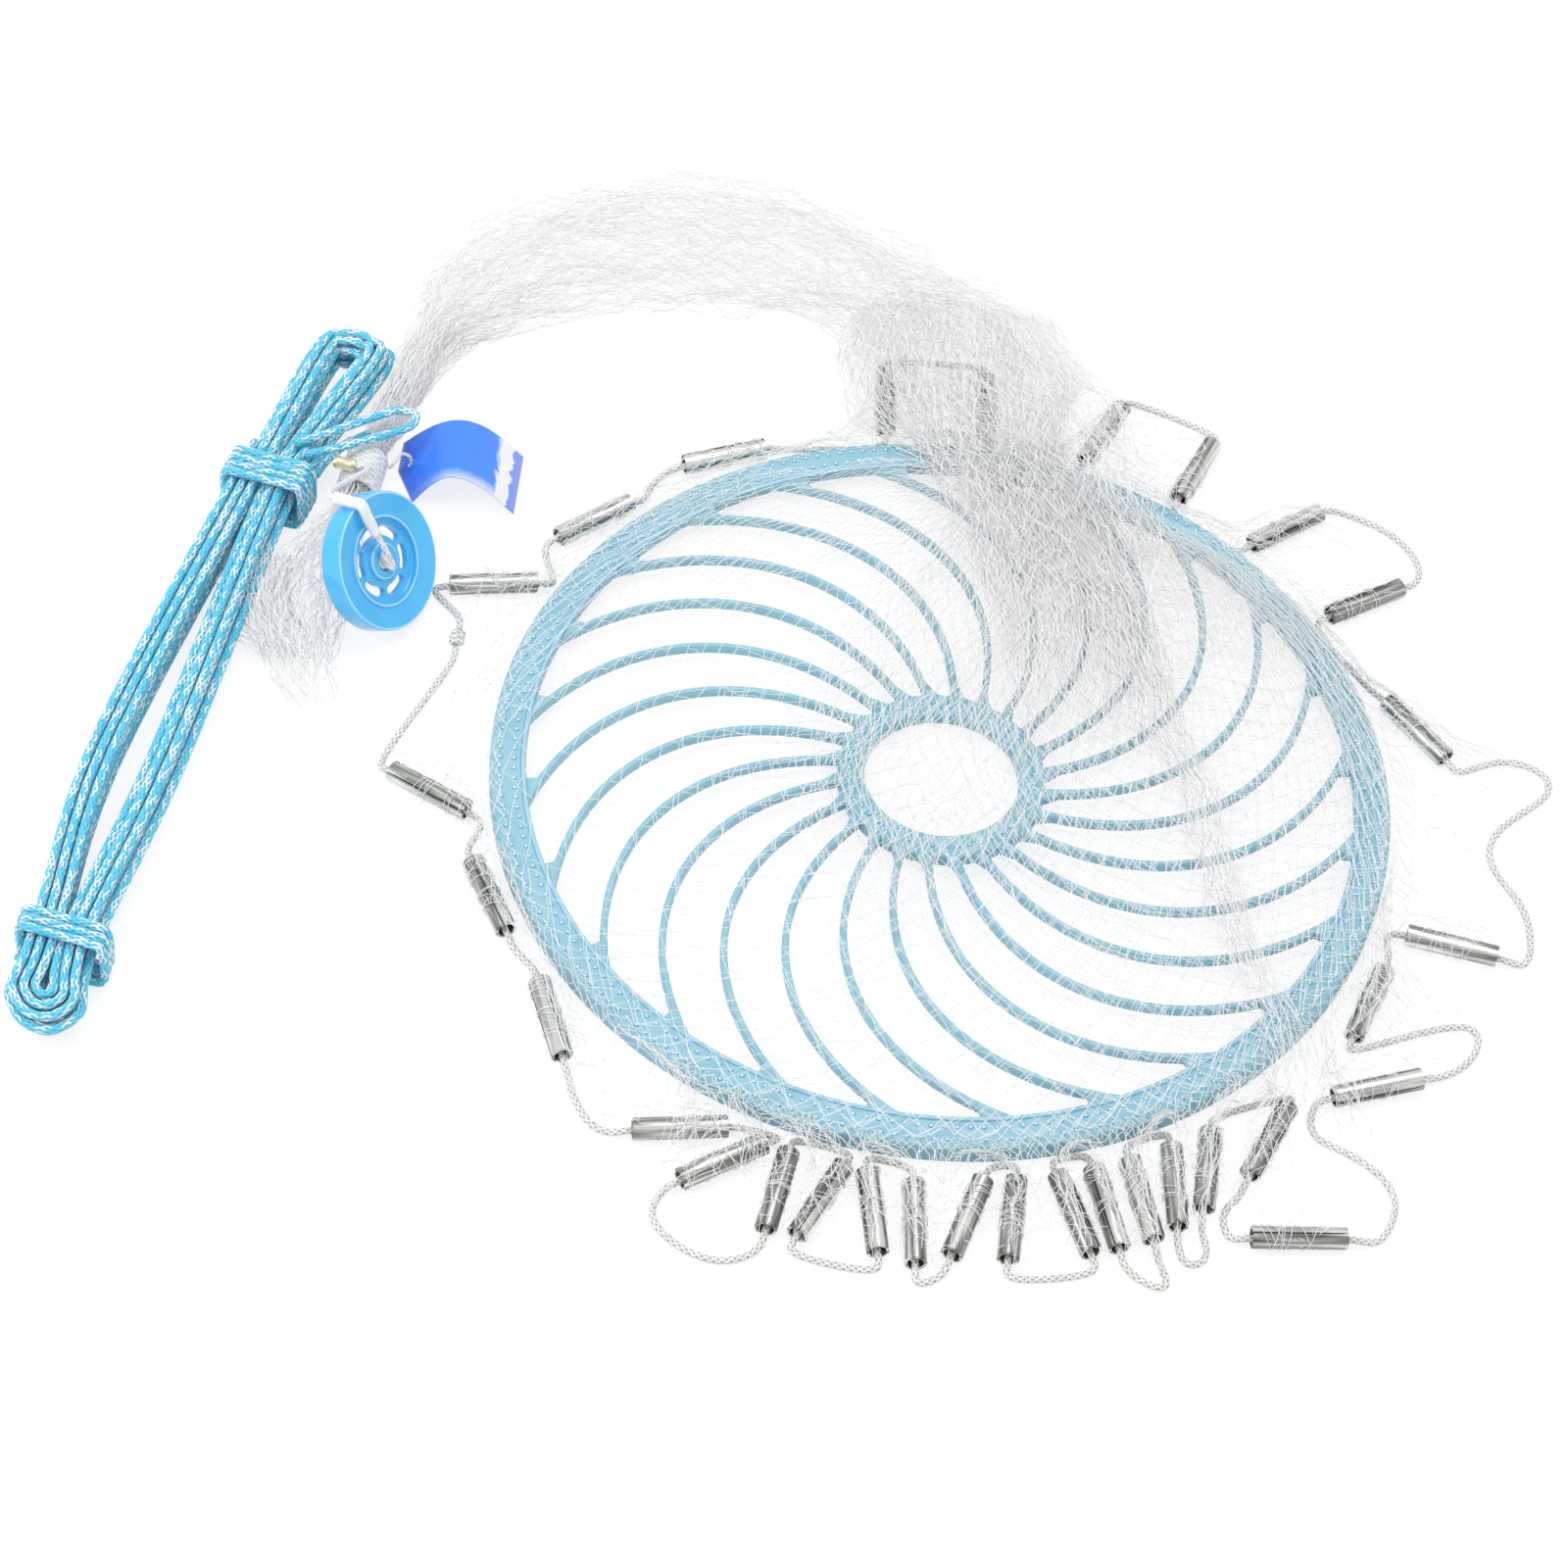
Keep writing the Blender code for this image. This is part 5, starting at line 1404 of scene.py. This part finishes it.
def skirts():
    """The net's hem: down from the rim over the sinkers, and hitched to the lead line."""
    rng = np.random.default_rng(9)
    for layer, count in enumerate(HEM_COLUMNS):
        bearings, ends = hem_columns(count)
        free = [not in_sinker(end) for end in ends]
        grid = np.zeros((HEM_ROWS + 1, count, 3))
        for j in range(count):
            a = bearings[j] + 0.008 * math.sin(j * 0.55 + layer * 2) + layer * 0.01
            start, edge = [CENTRE + (DISC_R + off) * toward(a) for off in (-0.004, 0.002)]
            for i in range(HEM_ROWS + 1):
                t = max(0.0, (i - 2) / (HEM_ROWS - 2))
                point = start * (1 - i / 2) + edge * i / 2 if i < 2 else edge * (1 - t) + ends[j] * t
                shift = wander(point, 0.03, 0.009, layer + 21)
                shift += wander(point, 0.012, 0.004, layer + 31)
                point[:2] += shift[:2] * 4 * t * (1 - t)
                point[2] = above_hem(point, layer)
                if i == HEM_ROWS and free[j]:
                    point[2] = LINE_D + THREAD_D
                grid[i, j] = point
        lines = net_threads(grid, SLACK["hem"], rng)
        if layer == 0:
            ways = np.gradient(ends, axis=0)
            for j in range(0, count, 2):
                if free[j]:
                    lines.append(loop_round(ends[j], ways[j], LINE_D / 2 + THREAD_D / 2, -200, 160, 13))
        add_layer("net_hem", layer, lines, grid, [f"net_skirt_{k}" for k in range(1, 5)])


def under_net(point):
    """The height that the gathered net lies at: on the floor, or over the disc and its hem."""
    over = NET_Z + 2 * THREAD_D + 0.0012
    off = from_middle(point) - DISC_R
    near, run = NECK_CLIMB
    return over * max(0.0, min(1.0, (near + run - off) / run))


def stations(data):
    """A way's rows a net's bar apart, how far along each lies, and the level way to its right."""
    fine = catmull(data, 12)
    along = length_along(fine[:, :3])
    at = np.linspace(0, along[-1], int(along[-1] / BAR) + 1)
    rows = np.stack([np.interp(at, along, column) for column in fine.T], axis=1)
    ahead = np.gradient(rows[:, :2], axis=0)
    ahead /= np.linalg.norm(ahead, axis=1)[:, None]
    return rows, at, np.stack([ahead[:, 1], -ahead[:, 0], 0 * at], axis=1)


def gathered_grid(rows, way, lifted, scale, columns, seed, folds=5, depth=0.16):
    """The knots of one tube of net inside a gathered bundle, at a share of its outline."""
    horn = place(*HORN_AT)
    reaches = (GAP / 2, HORN_L / 2 + HORN_SLACK)
    data = [(*(horn + way * reach), HORN_CORE_R, 2 * HORN_CORE_R) for reach in reaches]
    data += [(*place(b, off), w / 1000, h / 1000) for b, off, w, h in rows]
    rows, at, across = stations(data)
    grid = np.zeros((len(at), columns, 3))
    for i, row in enumerate(rows):
        round_part = 1 - smoothstep((at[i] - HORN_L / 2) / 0.03)
        calm = 0.25 + 0.75 * smoothstep((at[i] - CALM_FROM) / CALM_RUN)
        for j in range(columns):
            a = 2 * math.pi * j / columns + 0.02 * i
            c, s = math.cos(a), math.sin(a)
            fold = 1 + depth * (1 - round_part) * math.cos(2 * folds * a + 0.04 * i + seed)
            loose_x = row[3] * c * scale * (0.94 + 0.06 * fold)
            loose_z = row[4] * (0.5 + (max(0.0, s) ** 0.7 * fold - 0.5) * scale)
            x = loose_x * (1 - round_part) + HORN_CORE_R * c * round_part * scale
            z = loose_z * (1 - round_part) + (HORN_D / 2 + HORN_CORE_R * s * scale) * round_part
            point = row[:3] + across[i] * x
            point[2] = 0.0
            lift = under_net(point) if lifted else 0.0
            shift = wander(point + np.array([0, 0, z]), 0.030, 0.010, seed)
            shift += wander(point, 0.012, 0.004, seed + 5)
            point += shift * (1 - round_part) * calm * (1, 1, 0.5)
            point[2] = lift + max(THREAD_D, z + shift[2] * 0.5 * (1 - round_part))
            grid[i, j] = point
    return grid


def bundle(name, rows, way, lifted, layers, stands_for, ragged):
    """Several tubes of net, one inside the other, as a gathered net has them."""
    rng = np.random.default_rng(len(rows))
    lines = []
    for seed, (scale, columns) in enumerate(layers):
        grid = gathered_grid(rows, way, lifted, scale, columns, seed + 40)
        ends = rng.integers(int(len(grid) * ragged), len(grid) + 1, columns)
        lines += net_threads(grid, SLACK["gathered"], rng, closed=True, ends=ends)
    add_net(name, lines, stands_for=stands_for)


def fold_of_net(rows, columns, share, tall, seed):
    """The knots of one layer of a fold that runs along a way on the floor or the disc."""
    data = [(x / 1000, y / 1000, 0.0, half / 1000) for x, y, half in rows]
    rows, at, across = stations(data)
    grid = np.zeros((len(at), columns, 3))
    for i, row in enumerate(rows):
        for j in range(columns):
            s = 2 * j / (columns - 1) - 1
            point = CENTRE + row[:3] + across[i] * row[3] * s
            shift = wander(point, 0.030, 0.008, seed) + wander(point, 0.010, 0.003, seed + 3)
            point[:2] += shift[:2]
            low = above_disc(point, 1) if from_middle(point) < DISC_R else above_hem(point, 1)
            point[2] = low + tall * share * math.sqrt(max(0.0, 1 - s * s))
            grid[i, j] = point
    return grid


def folds():
    """Thicker folds of the net.

    They run from the neck over the rim, down the disc's right side, thinly over its middle, and
    along the turned-up part of the loose end.
    """
    rng = np.random.default_rng(17)
    for number, (columns, layers, tall, rows) in enumerate(FOLDS):
        lines = []
        for layer in range(layers):
            seed = 60 + 7 * number + layer
            grid = fold_of_net(rows, columns, (layer + 1) / layers, tall / 1000, seed)
            ends = rng.integers(int(len(grid) * 0.8), len(grid) + 1, columns)
            lines += net_threads(grid, SLACK["fold"], rng, ends=ends)
        add_net(f"net_fold_{number + 1}", lines)


def bunched_net():
    """Net that is caught round each sinker: threads wound over it, and short ones that stand off."""
    rng = np.random.default_rng(23)
    lines = []
    away = SINKER_R + 0.0006
    for near, far, way in SINKERS:
        side = right_of(way)
        for _ in range(SINKER_LOOPS):
            at = near + way * SINKER_L * rng.uniform(0.03, 0.7)
            line = loop_round(at, way, away, -45, 225, 13)
            lines.append(line + np.outer(np.linspace(0, rng.uniform(-0.014, 0.014), 13), way))
        for _ in range(SINKER_ENDS):
            out = circle(math.radians(rng.uniform(-30, 210)), side, UP)
            foot = near + way * SINKER_L * rng.uniform(0.0, 1.0) + out * away
            lean = out * rng.uniform(0.1, 0.9) + way * rng.uniform(-1, 1) + side * rng.uniform(-0.6, 0.6)
            tip = foot + lean * 0.005
            tip[2] = max(tip[2], 2 * THREAD_D)
            middle = (foot + tip) / 2 + rng.normal(0, 0.0004, 3) + out * 0.0006
            lines.append(np.array([foot, middle, tip]))
    add_net("net_round_sinkers", lines)


def shows_background(paint, glossy=True):
    """1 for the rays that should meet a plain white background."""
    path = paint.node("LightPath", {}).node.outputs
    seen = paint.maths("MAXIMUM", path["Is Camera Ray"], path["Is Transmission Ray"])
    return paint.maths("MAXIMUM", seen, path["Is Glossy Ray"]) if glossy else seen


def white_floor():
    """A white floor that keeps a faint shadow and lights the object from below."""
    paint = Paint(bpy.data.materials.new("floor_white"))
    paint.nodes.clear()
    plain, shaded = [paint.node("BsdfDiffuse", {"Color": (grey,) * 3}) for grey in (0.86, 0.26)]
    glow = paint.node("Emission", {"Color": WHITE, "Strength": 0.78})
    both = paint.node("AddShader", {0: shaded, 1: glow})
    mixed = paint.node("MixShader", {0: shows_background(paint), 1: plain, 2: both})
    paint.node("OutputMaterial", {"Surface": mixed})
    bm = bmesh.new()
    bmesh.ops.create_grid(bm, x_segments=1, y_segments=1, size=6.0)
    data = mesh_of(bm, "floor")
    data.materials.append(paint.owner)
    linked("floor", data)


def pale_room():
    """A pale room, white where it is seen, and two lamps."""
    world = bpy.data.worlds.new("studio")
    bpy.context.scene.world = world
    paint = Paint(world)
    height = paint.parts(paint.where("Generated"))["Z"]
    greys = ((0.0, (0.74, 0.74, 0.75)), (0.5, (0.80, 0.80, 0.81)), (1.0, (0.86, 0.86, 0.86)))
    room = paint.mix(shows_background(paint, glossy=False), paint.ramp(height, *greys), WHITE)
    background = paint.nodes["Background"].inputs
    paint.put(background["Color"], room)
    background["Strength"].default_value = 1.0
    for name, (spot, size, power) in LAMPS.items():
        light = bpy.data.lights.new(name, "AREA")
        light.size = size
        light.energy = power
        lamp = linked(name, light)
        lamp.location = spot
        lamp.rotation_mode = "QUATERNION"
        lamp.rotation_quaternion = (Vector(CENTRE) - Vector(spot)).to_track_quat("-Z", "Y")


def camera():
    data = bpy.data.cameras.new("camera")
    data.sensor_width = 36.0
    data.lens = data.sensor_width * FOCAL_PX / PHOTO_PX
    data.clip_end = 50.0
    cam = linked("camera", data)
    level = Vector((1, 0, 0))
    forward = Vector((0, math.cos(CAMERA_DOWN), -math.sin(CAMERA_DOWN)))
    upright = Vector((0, math.sin(CAMERA_DOWN), math.cos(CAMERA_DOWN)))
    right = math.cos(CAMERA_ROLL) * level + math.sin(CAMERA_ROLL) * upright
    up = math.cos(CAMERA_ROLL) * upright - math.sin(CAMERA_ROLL) * level
    turn = Matrix((right, up, -forward)).transposed().to_4x4()
    cam.matrix_world = Matrix.Translation(CENTRE + CAMERA_AT) @ turn
    bpy.context.scene.camera = cam


camera()
hand_rope()
throwing_disc()
SINKERS = sinkers()
LINE_POINTS = line_route()
lead_line()
crown()
skirts()
bundle("net_gathered", NECK, HORN_WAY, True, NECK_TUBES, ["net_neck"], 0.86)
bundle("net_loose_end", TAIL, -HORN_WAY, False, TAIL_TUBES, ["net_tail"], 0.9)
folds()
bunched_net()
horn_whipping()
ferrule()
wheel()
wheel_cord()
tag()
tag_string()
white_floor()
pale_room()
bpy.context.scene.view_settings.view_transform = "Standard"
